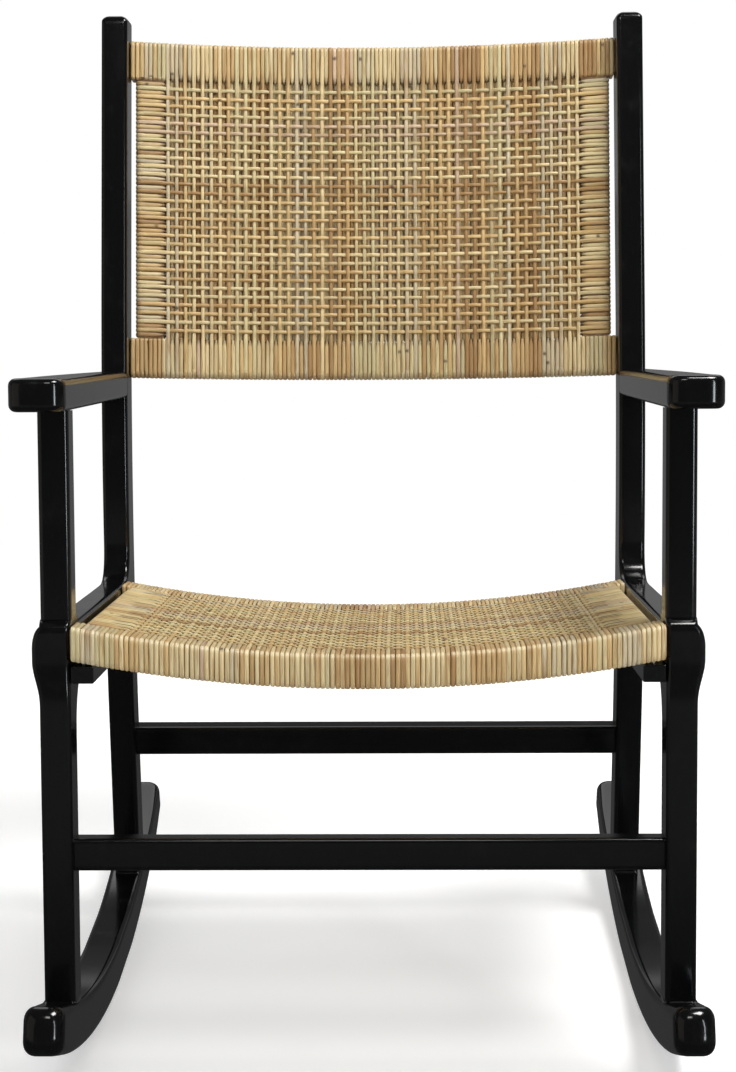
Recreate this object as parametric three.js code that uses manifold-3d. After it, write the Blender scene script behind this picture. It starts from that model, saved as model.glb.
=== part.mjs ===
// A rocking chair: a black lacquered frame that stands on two curved rockers, with a seat
// and a back that are wooden frames wound and woven over on both faces with rattan.
//
// Lengths are millimetres and angles are degrees. The sitter faces -Y and +Z is up. The chair
// is the same on both sides of X = 0. Left is -X, the left of someone who looks at its front.
// Everything is drawn with the seat level, and the finished chair is then leaned back to the
// angle at which its own weight balances on the rockers.
import * as THREE from 'three';
import { mergeVertices } from 'three/addons/utils/BufferGeometryUtils.js';
import Module from 'manifold-3d';

const wasm = await Module();
wasm.setup();

// Fits and cuts
const clearance = 0.3;
const overrun = 2;

// How far the empty chair leans back at rest
const chairLean = 5.9;

// Uprights, with Y counted from a zero a little behind the front of the legs
const legOuter = 300;
const memberWidth = 28.8;
const edgeRounding = 3;
const frontLegFront = -10;
const frontLegBack = 29.5;
const frontLegBase = 48;
const armPostFront = 2;
const armPostBack = 36;

// Knuckle: the swollen head of the front leg, which carries the arm post
const knuckleSwell = 6.5;
const knuckleRise = 4.5;
const knuckleBack = 58;
const knuckleCrown = 14;
const knuckleTaperDrop = 7;
const knuckleTaperLength = 44;
const kneeDrop = 17;
const kneeCurve = 31;
const crownBack = 41;

// Back posts, each one a curved member with the rear leg as its lower end
const postDepth = 45;
const postTop = 1044.5;
const postTopRounding = 8;
const postVertexFront = 413.3;
const postVertexHeight = 540;
const postBendRadius = 1700;
const postUpperRake = 6.7;
const postLowerRake = 9.5;
const rearLegBase = 58;

// Side rails, and the haunch of the back post that they meet
const railDrop = 2.5;
const railHeight = 50;
const haunchFront = 370;
const haunchUpperCurve = 41;
const haunchLowerCurve = 28;
const railTenonLength = 27;
const railTenonWidth = 12;
const railTenonHeight = 30;

// Rockers
const rockerRadius = 1032;
const rockerThickness = 44;
const rockerContact = 223;
const rockerFrontEnd = -97;
const rockerRearEnd = 682;
const rockerInnerLip = 1.7;
const rockerOuterLip = 7.5;
const rockerRounding = 4;
const rockerTipRounding = 10;
const rockerRestLength = 100;

// Arms
const armTop = 647;
const armThickness = 30;
const armFront = -52;
const armInnerLip = 5;
const armFrontOverhang = 18;
const armMiddleOverhang = 17;
const armWaist = 120;
const armOuterFullness = 4;
const armNoseRounding = 14;
const armEdgeRounding = 4;

// Stretchers
const frontStretcherHeight = 30;
const rearStretcherHeight = 32.5;
const stretcherDepth = 24;
const stretcherRounding = 4;
const stretcherTenonRadius = 7;
const stretcherTenonLength = 15;
const frontStretcherMiddle = 208.3;
const rearStretcherMiddle = 232.5;

// Seat frame and its rattan
const seatFront = -12;
const seatBack = 388;
const seatSideGap = 7.2;
const seatHeight = 421.5;
const seatDip = 26.5;
const seatThickness = 32.6;
const seatRailDepth = 42;
const seatBarWidth = 40;
const seatRounding = 5;

// Back frame and its rattan
const panelDrop = 24;
const panelHeight = 376.5;
const panelSideGap = 5.7;
const panelInset = 24;
const panelBow = 36;
const panelThickness = 22;
const panelRailHeight = 44;
const panelStileWidth = 31;
const panelRounding = 3.5;
const panelTenonLength = 14;
const panelTenonHeight = 24;
const panelTenonDepth = 9;

// Rattan, and the small joints of both frames
const rattanThickness = 3;
const frameTenonLength = 9;
const frameTenonWidth = 8;

// Cleats that carry the seat frame
const cleatWidth = 21;
const cleatDrop = 0.6;
const cleatHeight = 16;
const cleatFront = -8;
const cleatBack = 380;
const cleatRounding = 1.5;

// Dowels and screws
const dowelRadius = 5;
const legDowelLength = 60;
const armDowelReach = 24;
const armDowelTopReach = 21;
const armScrewDepth = 15;
const armScrewLength = 72;
const armScrewRadius = 3;
const armScrewHeadRadius = 5.5;
const armScrewHeadLength = 4;
const plugRadius = 6.5;
const plugLength = 9;
const screwRadius = 2.2;
const screwHeadRadius = 4.4;
const screwHeadLength = 3;
const seatScrewLength = 36;
const seatScrewFront = 8;
const seatScrewRear = 366;
const cleatScrewLength = 34;
const cleatScrewFront = 110;
const cleatScrewRear = 260;

// How finely curves are drawn
const roundingSteps = 2;
const cornerSteps = 5;
const curveSteps = 8;
const rockerSteps = 11;
const postSteps = 10;
const bowSteps = 20;
const rodSides = 12;

const legInner = legOuter - memberWidth;
const legMiddle = (legInner + legOuter) / 2;
const knuckleOuter = legOuter + knuckleSwell;
const knuckleTop = seatHeight + knuckleRise;
const railTop = seatHeight - railDrop;
const railBottom = railTop - railHeight;
const kneeHeight = railBottom - kneeDrop;
const knuckleTaperStart = kneeHeight - knuckleTaperDrop;
const knuckleTaperEnd = knuckleTaperStart + knuckleTaperLength;
const cleatBottom = railBottom - cleatDrop;
const cleatTop = cleatBottom + cleatHeight;
const rockerInner = legInner - rockerInnerLip;
const rockerOuter = legOuter + rockerOuterLip;
const armInnerFront = legInner - armInnerLip;
const armOuterFront = legOuter + armFrontOverhang;
const armOuterMiddle = legOuter + armMiddleOverhang;
const seatHalfWidth = legInner - seatSideGap;
const panelHalfWidth = legInner - panelSideGap;
const panelTop = postTop - panelDrop;
const panelBottom = panelTop - panelHeight;
const postBendTop = postVertexHeight + postBendRadius * Math.sin(radians(postUpperRake));
const armScrewHeight = armTop - armScrewDepth;
const railEnd = legInner - clearance;
const sides = { left: -1, right: 1 };

const lacquer = { color: 0x0b0c0d, roughness: 0.16, metalness: 0 };
const rattan = { color: 0xc8a872, roughness: 0.62, metalness: 0 };
const rawWood = { color: 0xb08a5c, roughness: 0.75, metalness: 0 };
const steel = { color: 0x8d9095, roughness: 0.35, metalness: 1 };

const chair = new THREE.Group();

function radians(degrees) {
  return THREE.MathUtils.degToRad(degrees);
}

// Solids

function solidFrom(geometry) {
  geometry.deleteAttribute('normal');
  geometry.deleteAttribute('uv');
  const merged = mergeVertices(geometry);
  const mesh = new wasm.Mesh({
    numProp: 3,
    vertProperties: merged.attributes.position.array,
    triVerts: new Uint32Array(merged.index.array),
  });
  return new wasm.Manifold(mesh);
}

function geometryFrom(solid) {
  const { vertProperties, triVerts } = solid.getMesh();
  const geometry = new THREE.BufferGeometry();
  geometry.setAttribute('position', new THREE.BufferAttribute(vertProperties, 3));
  geometry.setIndex(new THREE.BufferAttribute(triVerts, 1));
  const faceted = geometry.toNonIndexed();
  faceted.computeVertexNormals();
  return faceted;
}

function place(name, solid, finish) {
  const mesh = new THREE.Mesh(geometryFrom(solid), new THREE.MeshStandardMaterial(finish));
  mesh.name = name;
  chair.add(mesh);
}

function join(solids) {
  return solids.reduce((whole, solid) => whole.add(solid));
}

function cut(solid, tools) {
  return tools.reduce((rest, tool) => rest.subtract(tool), solid);
}

// A slab with the given outline, between two heights above the outline's plane
function slabGeometry(outline, low, high, rounding) {
  const shape = new THREE.Shape(outline.map((point) => new THREE.Vector2(...point)));
  const geometry = new THREE.ExtrudeGeometry(shape, {
    depth: high - low - rounding - rounding,
    bevelEnabled: rounding > 0,
    bevelThickness: rounding,
    bevelSize: rounding,
    bevelOffset: -rounding,
    bevelSegments: roundingSteps,
  });
  return geometry.translate(0, 0, low + rounding);
}

// Outline in (Y, Z), thickness along X
function slabAcross(outline, low, high, rounding = 0) {
  const turn = new THREE.Matrix4().makeBasis(
    new THREE.Vector3(0, 1, 0),
    new THREE.Vector3(0, 0, 1),
    new THREE.Vector3(1, 0, 0),
  );
  return solidFrom(slabGeometry(outline, low, high, rounding).applyMatrix4(turn));
}

// Outline in (X, Z), thickness along Y
function slabDeep(outline, front, back, rounding = 0) {
  const geometry = slabGeometry(outline, -back, -front, rounding);
  return solidFrom(geometry.rotateX(Math.PI / 2));
}

// Outline in (X, Y), thickness along Z
function slabTall(outline, low, high, rounding = 0) {
  return solidFrom(slabGeometry(outline, low, high, rounding));
}

// The same slab across, on the side that is asked for
function sideSlab(side, outline, inner, outer, rounding = 0) {
  return slabAcross(outline, ...inOrder(side * inner, side * outer), rounding);
}

function inOrder(one, other) {
  return [Math.min(one, other), Math.max(one, other)];
}

function rectangle(left, right, low, high, radius = 0) {
  return softened([[left, low, radius], [right, low, radius], [right, high, radius], [left, high, radius]]);
}

// An outline whose corners turn into curves where a third value says how far each curve reaches
function softened(corners, steps = cornerSteps) {
  return corners.flatMap(([u, v, reach], index) => {
    if (!reach) {
      return [[u, v]];
    }
    const corner = new THREE.Vector2(u, v);
    const before = new THREE.Vector2(...corners.at(index - 1));
    const after = new THREE.Vector2(...corners.at((index + 1) % corners.length));
    const start = before.sub(corner).setLength(reach).add(corner);
    const end = after.sub(corner).setLength(reach).add(corner);
    const curve = new THREE.QuadraticBezierCurve(start, corner, end);
    return curve.getPoints(steps).map((point) => [point.x, point.y]);
  });
}

function steps(from, to, count) {
  return Array.from({ length: count + 1 }, (_, index) => THREE.MathUtils.lerp(from, to, index / count));
}

// A round rod from one point to another, with a larger head at its start where one is asked for
function rod(start, end, radius, headRadius = radius, headLength = 0) {
  const length = start.distanceTo(end);
  const head = headLength > 0 ? [[headRadius, 0], [headRadius, headLength]] : [];
  const outline = [[0, 0], ...head, [radius, headLength], [radius, length], [0, length]];
  const points = outline.map((point) => new THREE.Vector2(...point));
  const geometry = new THREE.LatheGeometry(points, rodSides);
  const direction = end.clone().sub(start).normalize();
  geometry.applyQuaternion(new THREE.Quaternion().setFromUnitVectors(new THREE.Vector3(0, 1, 0), direction));
  geometry.translate(start.x, start.y, start.z);
  return solidFrom(geometry);
}

// The hole that a rod needs, longer at its end, and at its start too where it breaks out
function hole(start, end, radius, startRun = clearance) {
  const direction = end.clone().sub(start).normalize();
  const from = start.clone().addScaledVector(direction, -startRun);
  const to = end.clone().addScaledVector(direction, clearance);
  return rod(from, to, radius + clearance);
}

// Rockers

const rockerRestAngle = Math.asin(rockerRestLength / 2 / rockerRadius);
const rockerTopRadius = rockerRadius - rockerThickness;

function rockerPoint(radius, angle, lift) {
  return [rockerContact + radius * Math.sin(angle), rockerRadius - radius * Math.cos(angle) + lift];
}

// Both ends are cut square to the arc, and the facet that the leaned chair rests on is a flat
function rockerOutline(lift = 0) {
  const frontAngle = Math.asin((rockerFrontEnd - rockerContact) / rockerRadius);
  const rearAngle = Math.asin((rockerRearEnd - rockerContact) / rockerRadius);
  const restAngle = radians(chairLean);
  const frontAngles = steps(frontAngle, restAngle - rockerRestAngle, rockerSteps);
  const rearAngles = steps(restAngle + rockerRestAngle, rearAngle, rockerSteps);
  const angles = [...frontAngles, ...rearAngles];
  const under = angles.map((angle) => rockerPoint(rockerRadius, angle, lift));
  const over = angles.map((angle) => rockerPoint(rockerTopRadius, angle, lift)).reverse();
  [under.at(0), under.at(-1), over.at(0), over.at(-1)].forEach((tip) => tip.push(rockerTipRounding));
  return softened([...under, ...over]);
}

function rocker(side) {
  const blank = sideSlab(side, rockerOutline(), rockerInner, rockerOuter, rockerRounding);
  return cut(blank, [frontLegDowelHole(side), rearLegDowelHole(side)]);
}

// What a leg that stands on a rocker loses to it
function rockerSeat(side) {
  return sideSlab(side, rockerOutline(clearance), rockerInner - overrun, rockerOuter + overrun);
}

// Back posts

function postFront(height) {
  const above = postBendTop;
  const below = postVertexHeight - postBendRadius * Math.sin(radians(postLowerRake));
  const bent = Math.min(Math.max(height, below), above);
  const run = bent - postVertexHeight;
  const arc = postBendRadius - Math.sqrt(postBendRadius * postBendRadius - run * run);
  const straight = Math.max(height - above, 0) * Math.tan(radians(postUpperRake))
    + Math.max(below - height, 0) * Math.tan(radians(postLowerRake));
  return postVertexFront + arc + straight;
}

function postOutline(shift = 0) {
  const front = (height) => [postFront(height) + shift, height];
  const back = (height) => [postFront(height) + postDepth + shift, height];
  const lowerHeights = steps(rearLegBase, railBottom - haunchLowerCurve - clearance, curveSteps);
  const upperStart = railTop + haunchUpperCurve + clearance;
  const upperHeights = steps(upperStart, postBendTop, postSteps);
  return softened([
    ...lowerHeights.map(front),
    [...front(railBottom), haunchLowerCurve],
    [haunchFront + shift, railBottom],
    [haunchFront + shift, railTop],
    [...front(railTop), haunchUpperCurve],
    ...upperHeights.map(front),
    [...front(postTop), postTopRounding],
    [...back(postTop), postTopRounding],
    ...upperHeights.map(back).reverse(),
    ...lowerHeights.map(back).reverse(),
  ]);
}

function backPost(side) {
  const blank = sideSlab(side, postOutline(), legInner, legOuter, edgeRounding);
  const screw = armScrewLine(side);
  return cut(blank, [
    rockerSeat(side),
    rearLegDowelHole(side),
    railTenon(side, haunchFront - overrun, haunchFront + railTenonLength, clearance),
    rearStretcherTenonHole(side),
    ...[true, false].map((upper) => panelTenon(side, upper, clearance)),
    hole(screw.head, screw.tip, armScrewRadius, overrun),
    hole(screw.back, screw.head, plugRadius, overrun),
  ]);
}

// Front legs

function frontLegOutline() {
  return softened([
    [frontLegFront, frontLegBase],
    [frontLegFront, knuckleTop, knuckleCrown],
    [crownBack, knuckleTop],
    [crownBack + knuckleTop - railTop, railTop],
    [knuckleBack, railTop],
    [knuckleBack, railBottom],
    [frontLegBack, kneeHeight, kneeCurve],
    [frontLegBack, frontLegBase],
  ]);
}

// The leg seen from the front, which swells outward at the knuckle
function frontLegFace(side) {
  const swell = new THREE.CubicBezierCurve(
    new THREE.Vector2(legOuter, knuckleTaperStart),
    new THREE.Vector2(legOuter, (knuckleTaperStart + knuckleTaperEnd) / 2),
    new THREE.Vector2(knuckleOuter, (knuckleTaperStart + knuckleTaperEnd) / 2),
    new THREE.Vector2(knuckleOuter, knuckleTaperEnd),
  );
  const outline = softened([
    [legInner - overrun, frontLegBase],
    [legOuter, frontLegBase],
    ...swell.getPoints(curveSteps).map((point) => [point.x, point.y]),
    [knuckleOuter, knuckleTop, knuckleSwell],
    [legInner - overrun, knuckleTop],
  ]);
  return outline.map(([x, z]) => [side * x, z]);
}

function frontLeg(side) {
  const profile = sideSlab(side, frontLegOutline(), legInner, knuckleOuter, edgeRounding);
  const face = slabDeep(frontLegFace(side), frontLegFront, knuckleBack + overrun, edgeRounding);
  return cut(profile.intersect(face), [
    rockerSeat(side),
    frontLegDowelHole(side),
    armPostDowelHole(side),
    railTenon(side, knuckleBack - railTenonLength, knuckleBack + overrun, clearance),
    frontStretcherTenonHole(side),
  ]);
}

// Arm posts

function armPost(side) {
  const outline = rectangle(legInner, legOuter, armPostFront, armPostBack, edgeRounding)
    .map(([x, y]) => [side * x, y]);
  const blank = slabTall(outline, knuckleTop + clearance, armTop - armThickness - clearance);
  return cut(blank, [armPostDowelHole(side), armDowelHole(side)]);
}

// Arms

function armOutline(side) {
  const reach = postFront(armTop) + overrun;
  const outer = new THREE.QuadraticBezierCurve(
    new THREE.Vector2(armOuterMiddle, armWaist),
    new THREE.Vector2((armOuterMiddle + legOuter) / 2 + armOuterFullness, (armWaist + reach) / 2),
    new THREE.Vector2(legOuter, reach),
  );
  return softened([
    [armInnerFront, armFront, armNoseRounding],
    [armOuterFront, armFront, armNoseRounding],
    ...outer.getPoints(curveSteps).map((point) => [point.x, point.y]),
    [legInner, reach],
  ]).map(([x, y]) => [side * x, y]);
}

function arm(side) {
  const blank = slabTall(armOutline(side), armTop - armThickness, armTop, armEdgeRounding);
  const post = sideSlab(side, postOutline(-clearance), legInner - overrun, armOuterFront);
  const screw = armScrewLine(side);
  return cut(blank, [post, armDowelHole(side), hole(screw.head, screw.tip, armScrewRadius)]);
}

// Side rails

// The tenon of a side rail, or with a margin the mortise that takes it
function railTenon(side, front, back, margin = 0) {
  const middle = (railTop + railBottom) / 2;
  const half = railTenonHeight / 2 + margin;
  const outline = rectangle(front - margin, back + margin, middle - half, middle + half);
  const inner = legMiddle - railTenonWidth / 2 - margin;
  return sideSlab(side, outline, inner, inner + railTenonWidth + margin + margin);
}

function sideRail(side) {
  const outline = rectangle(legInner, legOuter, railBottom, railTop, edgeRounding)
    .map(([x, z]) => [side * x, z]);
  const front = knuckleBack + clearance;
  const back = haunchFront - clearance;
  const body = join([
    slabDeep(outline, front, back),
    railTenon(side, knuckleBack - railTenonLength, front + overrun),
    railTenon(side, back - overrun, haunchFront + railTenonLength),
  ]);
  return cut(body, [cleatScrewFront, cleatScrewRear].map((y) => cleatScrewHole(side, y)));
}

// Stretchers

function stretcherOutline(middleY, middleZ, height, tilt) {
  const outline = rectangle(
    -stretcherDepth / 2, stretcherDepth / 2, -height / 2, height / 2, stretcherRounding,
  );
  return outline.map(([y, z]) => {
    const point = new THREE.Vector2(y, z).rotateAround(new THREE.Vector2(), radians(tilt));
    return [middleY + point.x, middleZ + point.y];
  });
}

function frontStretcherAxis() {
  return [(frontLegFront + frontLegBack) / 2, frontStretcherMiddle];
}

function rearStretcherAxis() {
  return [postFront(rearStretcherMiddle) + postDepth / 2, rearStretcherMiddle];
}

function stretcher([y, z], height, tilt) {
  const reach = legInner + stretcherTenonLength;
  const tenons = rod(new THREE.Vector3(-reach, y, z), new THREE.Vector3(reach, y, z), stretcherTenonRadius);
  return slabAcross(stretcherOutline(y, z, height, tilt), -railEnd, railEnd).add(tenons);
}

function stretcherTenonHole(side, [y, z]) {
  const start = new THREE.Vector3(side * legInner, y, z);
  const end = new THREE.Vector3(side * (legInner + stretcherTenonLength), y, z);
  return hole(start, end, stretcherTenonRadius, overrun);
}

function frontStretcherTenonHole(side) {
  return stretcherTenonHole(side, frontStretcherAxis());
}

function rearStretcherTenonHole(side) {
  return stretcherTenonHole(side, rearStretcherAxis());
}

// Dowels

// A leg's dowel starts inside the rocker and runs up the middle of the leg
function legDowelLine(foot, rake) {
  const direction = new THREE.Vector3(0, -Math.sin(rake), Math.cos(rake));
  return [foot, foot.clone().addScaledVector(direction, legDowelLength)];
}

function frontLegDowelLine(side) {
  const [y] = frontStretcherAxis();
  return legDowelLine(new THREE.Vector3(side * legMiddle, y, frontLegBase), 0);
}

function rearLegDowelLine(side) {
  const y = postFront(rearLegBase) + postDepth / 2;
  return legDowelLine(new THREE.Vector3(side * legMiddle, y, rearLegBase), radians(postLowerRake));
}

function armPostDowelLine(side) {
  const y = (armPostFront + armPostBack) / 2;
  const low = new THREE.Vector3(side * legMiddle, y, knuckleTop - armDowelReach);
  const high = new THREE.Vector3(side * legMiddle, y, knuckleTop + armDowelReach);
  return [low, high];
}

function armDowelLine(side) {
  const y = (armPostFront + armPostBack) / 2;
  const joint = armTop - armThickness;
  const low = new THREE.Vector3(side * legMiddle, y, joint - armDowelReach);
  const high = new THREE.Vector3(side * legMiddle, y, joint + armDowelTopReach);
  return [low, high];
}

function frontLegDowelHole(side) {
  return hole(...frontLegDowelLine(side), dowelRadius);
}

function rearLegDowelHole(side) {
  return hole(...rearLegDowelLine(side), dowelRadius);
}

function armPostDowelHole(side) {
  return hole(...armPostDowelLine(side), dowelRadius);
}

function armDowelHole(side) {
  return hole(...armDowelLine(side), dowelRadius);
}

// Screws

// The arm is pulled against the post by a screw from behind, whose head a wooden plug hides
function armScrewLine(side) {
  const back = postFront(armScrewHeight) + postDepth;
  const point = (y) => new THREE.Vector3(side * legMiddle, y, armScrewHeight);
  const head = back - plugLength - clearance - armScrewHeadLength;
  return { back: point(back), head: point(head), tip: point(head - armScrewLength) };
}

function armScrew(side) {
  const { head, tip } = armScrewLine(side);
  const top = head.clone();
  top.y += armScrewHeadLength;
  return rod(top, tip, armScrewRadius, armScrewHeadRadius, armScrewHeadLength);
}

function armPlug(side) {
  const { back } = armScrewLine(side);
  const inner = back.clone();
  inner.y -= plugLength;
  return rod(back, inner, plugRadius);
}

function seatScrewLine(side, y) {
  const x = side * (legInner - cleatWidth / 2);
  return [new THREE.Vector3(x, y, cleatBottom), new THREE.Vector3(x, y, cleatBottom + seatScrewLength)];
}

function cleatScrewLine(side, y) {
  const z = (cleatTop + cleatBottom) / 2;
  const start = new THREE.Vector3(side * (legInner - cleatWidth), y, z);
  const end = new THREE.Vector3(side * (legInner - cleatWidth + cleatScrewLength), y, z);
  return [start, end];
}

function screw(line) {
  return rod(...line, screwRadius, screwHeadRadius, screwHeadLength);
}

function seatScrewHole(side, y) {
  return hole(...seatScrewLine(side, y), screwRadius, overrun);
}

function cleatScrewHole(side, y) {
  return hole(...cleatScrewLine(side, y), screwRadius, overrun);
}

// The recess that holds a screw's head
function headHole([start, end]) {
  const direction = end.clone().sub(start).normalize();
  const deep = start.clone().addScaledVector(direction, screwHeadLength);
  return hole(start, deep, screwHeadRadius, overrun);
}

// Cleats

function cleat(side) {
  const outline = rectangle(legInner - cleatWidth, legInner - clearance, cleatBottom, cleatTop)
    .map(([x, z]) => [side * x, z]);
  const blank = slabDeep(outline, cleatFront, cleatBack, cleatRounding);
  const seatLines = [seatScrewFront, seatScrewRear].map((y) => seatScrewLine(side, y));
  const cleatLines = [cleatScrewFront, cleatScrewRear].map((y) => cleatScrewLine(side, y));
  return cut(blank, [...seatLines, ...cleatLines].flatMap((line) => [
    hole(...line, screwRadius, overrun),
    headHole(line),
  ]));
}

// Seat and back frames: both are curved across X, so one band serves for their parts

// An outline between two curves across X, each one the same bow moved by its own offset
function band(left, right, bow, lower, upper) {
  const across = steps(left, right, bowSteps);
  return [
    ...across.map((x) => [x, bow(x) + lower]),
    ...across.map((x) => [x, bow(x) + upper]).reverse(),
  ];
}

// How much of a bow is left at a distance off the middle: none there, all of it at the ends
function bowShare(x) {
  return (x / legInner) * (x / legInner);
}

// Height of the seat's upper face
function seatSurface(x) {
  return seatHeight - seatDip + seatDip * bowShare(x);
}

// How far behind its own ends the back's front face lies
function panelSurface(x) {
  return panelBow - panelBow * bowShare(x);
}

const frameInset = rattanThickness + clearance;
const seatFrontRail = [seatFront, seatFront + seatRailDepth];
const seatBackRail = [seatBack - seatRailDepth, seatBack];
const seatBarFront = seatFrontRail[1] - frameInset;
const seatBarBack = seatBackRail[0] + frameInset;

function seatPiece(left, right, front, back, inset, rounding = 0) {
  const outline = band(left, right, seatSurface, -seatThickness + inset, -inset);
  return slabDeep(outline, front, back, rounding);
}

// The tenon that a seat bar sends into a rail, or with a margin its mortise
function seatTenon(side, front, back, margin = 0) {
  const middle = side * (seatHalfWidth - seatBarWidth / 2);
  const height = seatSurface(middle) - seatThickness / 2;
  const half = frameTenonWidth / 2 + margin;
  const outline = rectangle(middle - half, middle + half, height - half, height + half);
  return slabDeep(outline, front - margin, back + margin);
}

// A thin skin round the whole seat frame, open only at the ends of the rails
function seatRattan() {
  const wall = rattanThickness;
  const tunnel = legInner + overrun;
  const outside = seatPiece(-railEnd, railEnd, seatFront, seatBack, 0, seatRounding);
  const inside = seatPiece(-tunnel, tunnel, seatFront + wall, seatBack - wall, wall);
  const hollow = cut(inside, seatSides(seatHalfWidth - wall, -wall));
  return cut(outside, [hollow, ...seatSides(seatHalfWidth, 0), ...seatScrewHoles()]);
}

// Everything beside the seat between its rails, from a distance off the middle outward
function seatSides(inner, margin) {
  const front = seatFrontRail[1] + margin;
  const back = seatBackRail[0] - margin;
  const low = seatHeight - seatDip - seatThickness - overrun;
  return Object.values(sides).map((side) => {
    const outline = rectangle(...inOrder(side * inner, side * legOuter), front, back);
    return slabTall(outline, low, seatHeight + overrun);
  });
}

function seatScrewHoles() {
  return Object.values(sides).flatMap((side) => [
    seatScrewHole(side, seatScrewFront),
    seatScrewHole(side, seatScrewRear),
  ]);
}

function seatRail([front, back]) {
  const blank = seatPiece(-railEnd, railEnd, front + frameInset, back - frameInset, frameInset);
  const mortises = Object.values(sides).map((side) => (
    seatTenon(side, seatBarFront - frameTenonLength, seatBarBack + frameTenonLength, clearance)
  ));
  return cut(blank, [...mortises, ...seatScrewHoles()]);
}

function seatBar(side) {
  const edges = inOrder(side * (seatHalfWidth - frameInset), side * (seatHalfWidth - seatBarWidth));
  const body = seatPiece(...edges, seatBarFront + clearance, seatBarBack - clearance, frameInset);
  return body.add(seatTenon(side, seatBarFront - frameTenonLength, seatBarBack + frameTenonLength));
}

// Back frame, drawn upright and then leaned against the posts

const panelFootFront = postFront(panelBottom) + panelInset;
const panelHeadFront = postFront(panelTop) + panelInset;
const panelLean = Math.atan2(panelHeadFront - panelFootFront, panelTop - panelBottom);
const panelLength = (panelTop - panelBottom) / Math.cos(panelLean);
const panelLowRail = [0, panelRailHeight];
const panelHighRail = [panelLength - panelRailHeight, panelLength];
const stileLow = panelLowRail[1] - frameInset;
const stileHigh = panelHighRail[0] + frameInset;

function leaned(geometry) {
  return solidFrom(geometry.rotateX(-panelLean).translate(0, panelFootFront, panelBottom));
}

function panelPiece(left, right, low, high, inset, rounding = 0) {
  const outline = band(left, right, panelSurface, inset, panelThickness - inset);
  return leaned(slabGeometry(outline, low, high, rounding));
}

// A thin skin round the whole back frame, open only at the ends of the rails
function panelRattan() {
  const wall = rattanThickness;
  const tunnel = legInner + overrun;
  const outside = panelPiece(-railEnd, railEnd, 0, panelLength, 0, panelRounding);
  const inside = panelPiece(-tunnel, tunnel, wall, panelLength - wall, wall);
  const hollow = cut(inside, panelSides(panelHalfWidth - wall, -wall));
  return cut(outside, [hollow, ...panelSides(panelHalfWidth, 0)]);
}

// Everything beside the back between its rails, from a distance off the middle outward
function panelSides(inner, margin) {
  const low = panelLowRail[1] + margin;
  const high = panelHighRail[0] - margin;
  const deep = panelBow + panelThickness + overrun;
  return Object.values(sides).map((side) => {
    const outline = rectangle(...inOrder(side * inner, side * legOuter), -overrun, deep);
    return leaned(slabGeometry(outline, low, high, 0));
  });
}

// The tenon of a back rail, or with a margin the mortise in the post
function panelTenon(side, upper, margin = 0) {
  const [low, high] = upper ? panelHighRail : panelLowRail;
  const middle = (low + high) / 2;
  const ends = inOrder(side * (railEnd - overrun), side * (legInner + panelTenonLength + margin));
  const deep = panelThickness / 2;
  const half = panelTenonDepth / 2 + margin;
  const outline = rectangle(...ends, deep - half, deep + half);
  const tall = panelTenonHeight / 2 + margin;
  return leaned(slabGeometry(outline, middle - tall, middle + tall, 0));
}

// The tenons at both ends of a stile, or with a margin their mortises
function stileTenons(side, margin = 0) {
  const middle = side * (panelHalfWidth - panelStileWidth / 2);
  const deep = panelSurface(middle) + panelThickness / 2;
  const half = frameTenonWidth / 2 + margin;
  const outline = rectangle(middle - half, middle + half, deep - half, deep + half);
  const reach = frameTenonLength + margin;
  return leaned(slabGeometry(outline, stileLow - reach, stileHigh + reach, 0));
}

function panelRail(upper) {
  const [low, high] = upper ? panelHighRail : panelLowRail;
  const body = panelPiece(-railEnd, railEnd, low + frameInset, high - frameInset, frameInset);
  const tenons = Object.values(sides).map((side) => panelTenon(side, upper));
  const mortises = Object.values(sides).map((side) => stileTenons(side, clearance));
  return cut(join([body, ...tenons]), mortises);
}

function panelStile(side) {
  const edges = inOrder(side * (panelHalfWidth - frameInset), side * (panelHalfWidth - panelStileWidth));
  const body = panelPiece(...edges, stileLow + clearance, stileHigh - clearance, frameInset);
  return body.add(stileTenons(side));
}

// Assembly

for (const [name, side] of Object.entries(sides)) {
  place(`rocker_${name}`, rocker(side), lacquer);
  place(`front_leg_${name}`, frontLeg(side), lacquer);
  place(`back_post_${name}`, backPost(side), lacquer);
  place(`arm_post_${name}`, armPost(side), lacquer);
  place(`arm_${name}`, arm(side), lacquer);
  place(`side_rail_${name}`, sideRail(side), lacquer);
  place(`seat_cleat_${name}`, cleat(side), lacquer);
  place(`seat_bar_${name}`, seatBar(side), rawWood);
  place(`back_stile_${name}`, panelStile(side), rawWood);
  place(`front_leg_dowel_${name}`, rod(...frontLegDowelLine(side), dowelRadius), rawWood);
  place(`rear_leg_dowel_${name}`, rod(...rearLegDowelLine(side), dowelRadius), rawWood);
  place(`arm_post_dowel_${name}`, rod(...armPostDowelLine(side), dowelRadius), rawWood);
  place(`arm_dowel_${name}`, rod(...armDowelLine(side), dowelRadius), rawWood);
  place(`arm_screw_${name}`, armScrew(side), steel);
  place(`arm_plug_${name}`, armPlug(side), lacquer);
  place(`seat_screw_front_${name}`, screw(seatScrewLine(side, seatScrewFront)), steel);
  place(`seat_screw_rear_${name}`, screw(seatScrewLine(side, seatScrewRear)), steel);
  place(`cleat_screw_front_${name}`, screw(cleatScrewLine(side, cleatScrewFront)), steel);
  place(`cleat_screw_rear_${name}`, screw(cleatScrewLine(side, cleatScrewRear)), steel);
}
place('front_stretcher', stretcher(frontStretcherAxis(), frontStretcherHeight, 0), lacquer);
place('rear_stretcher', stretcher(rearStretcherAxis(), rearStretcherHeight, postLowerRake), lacquer);
place('seat_front_rail', seatRail(seatFrontRail), rawWood);
place('seat_back_rail', seatRail(seatBackRail), rawWood);
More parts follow.
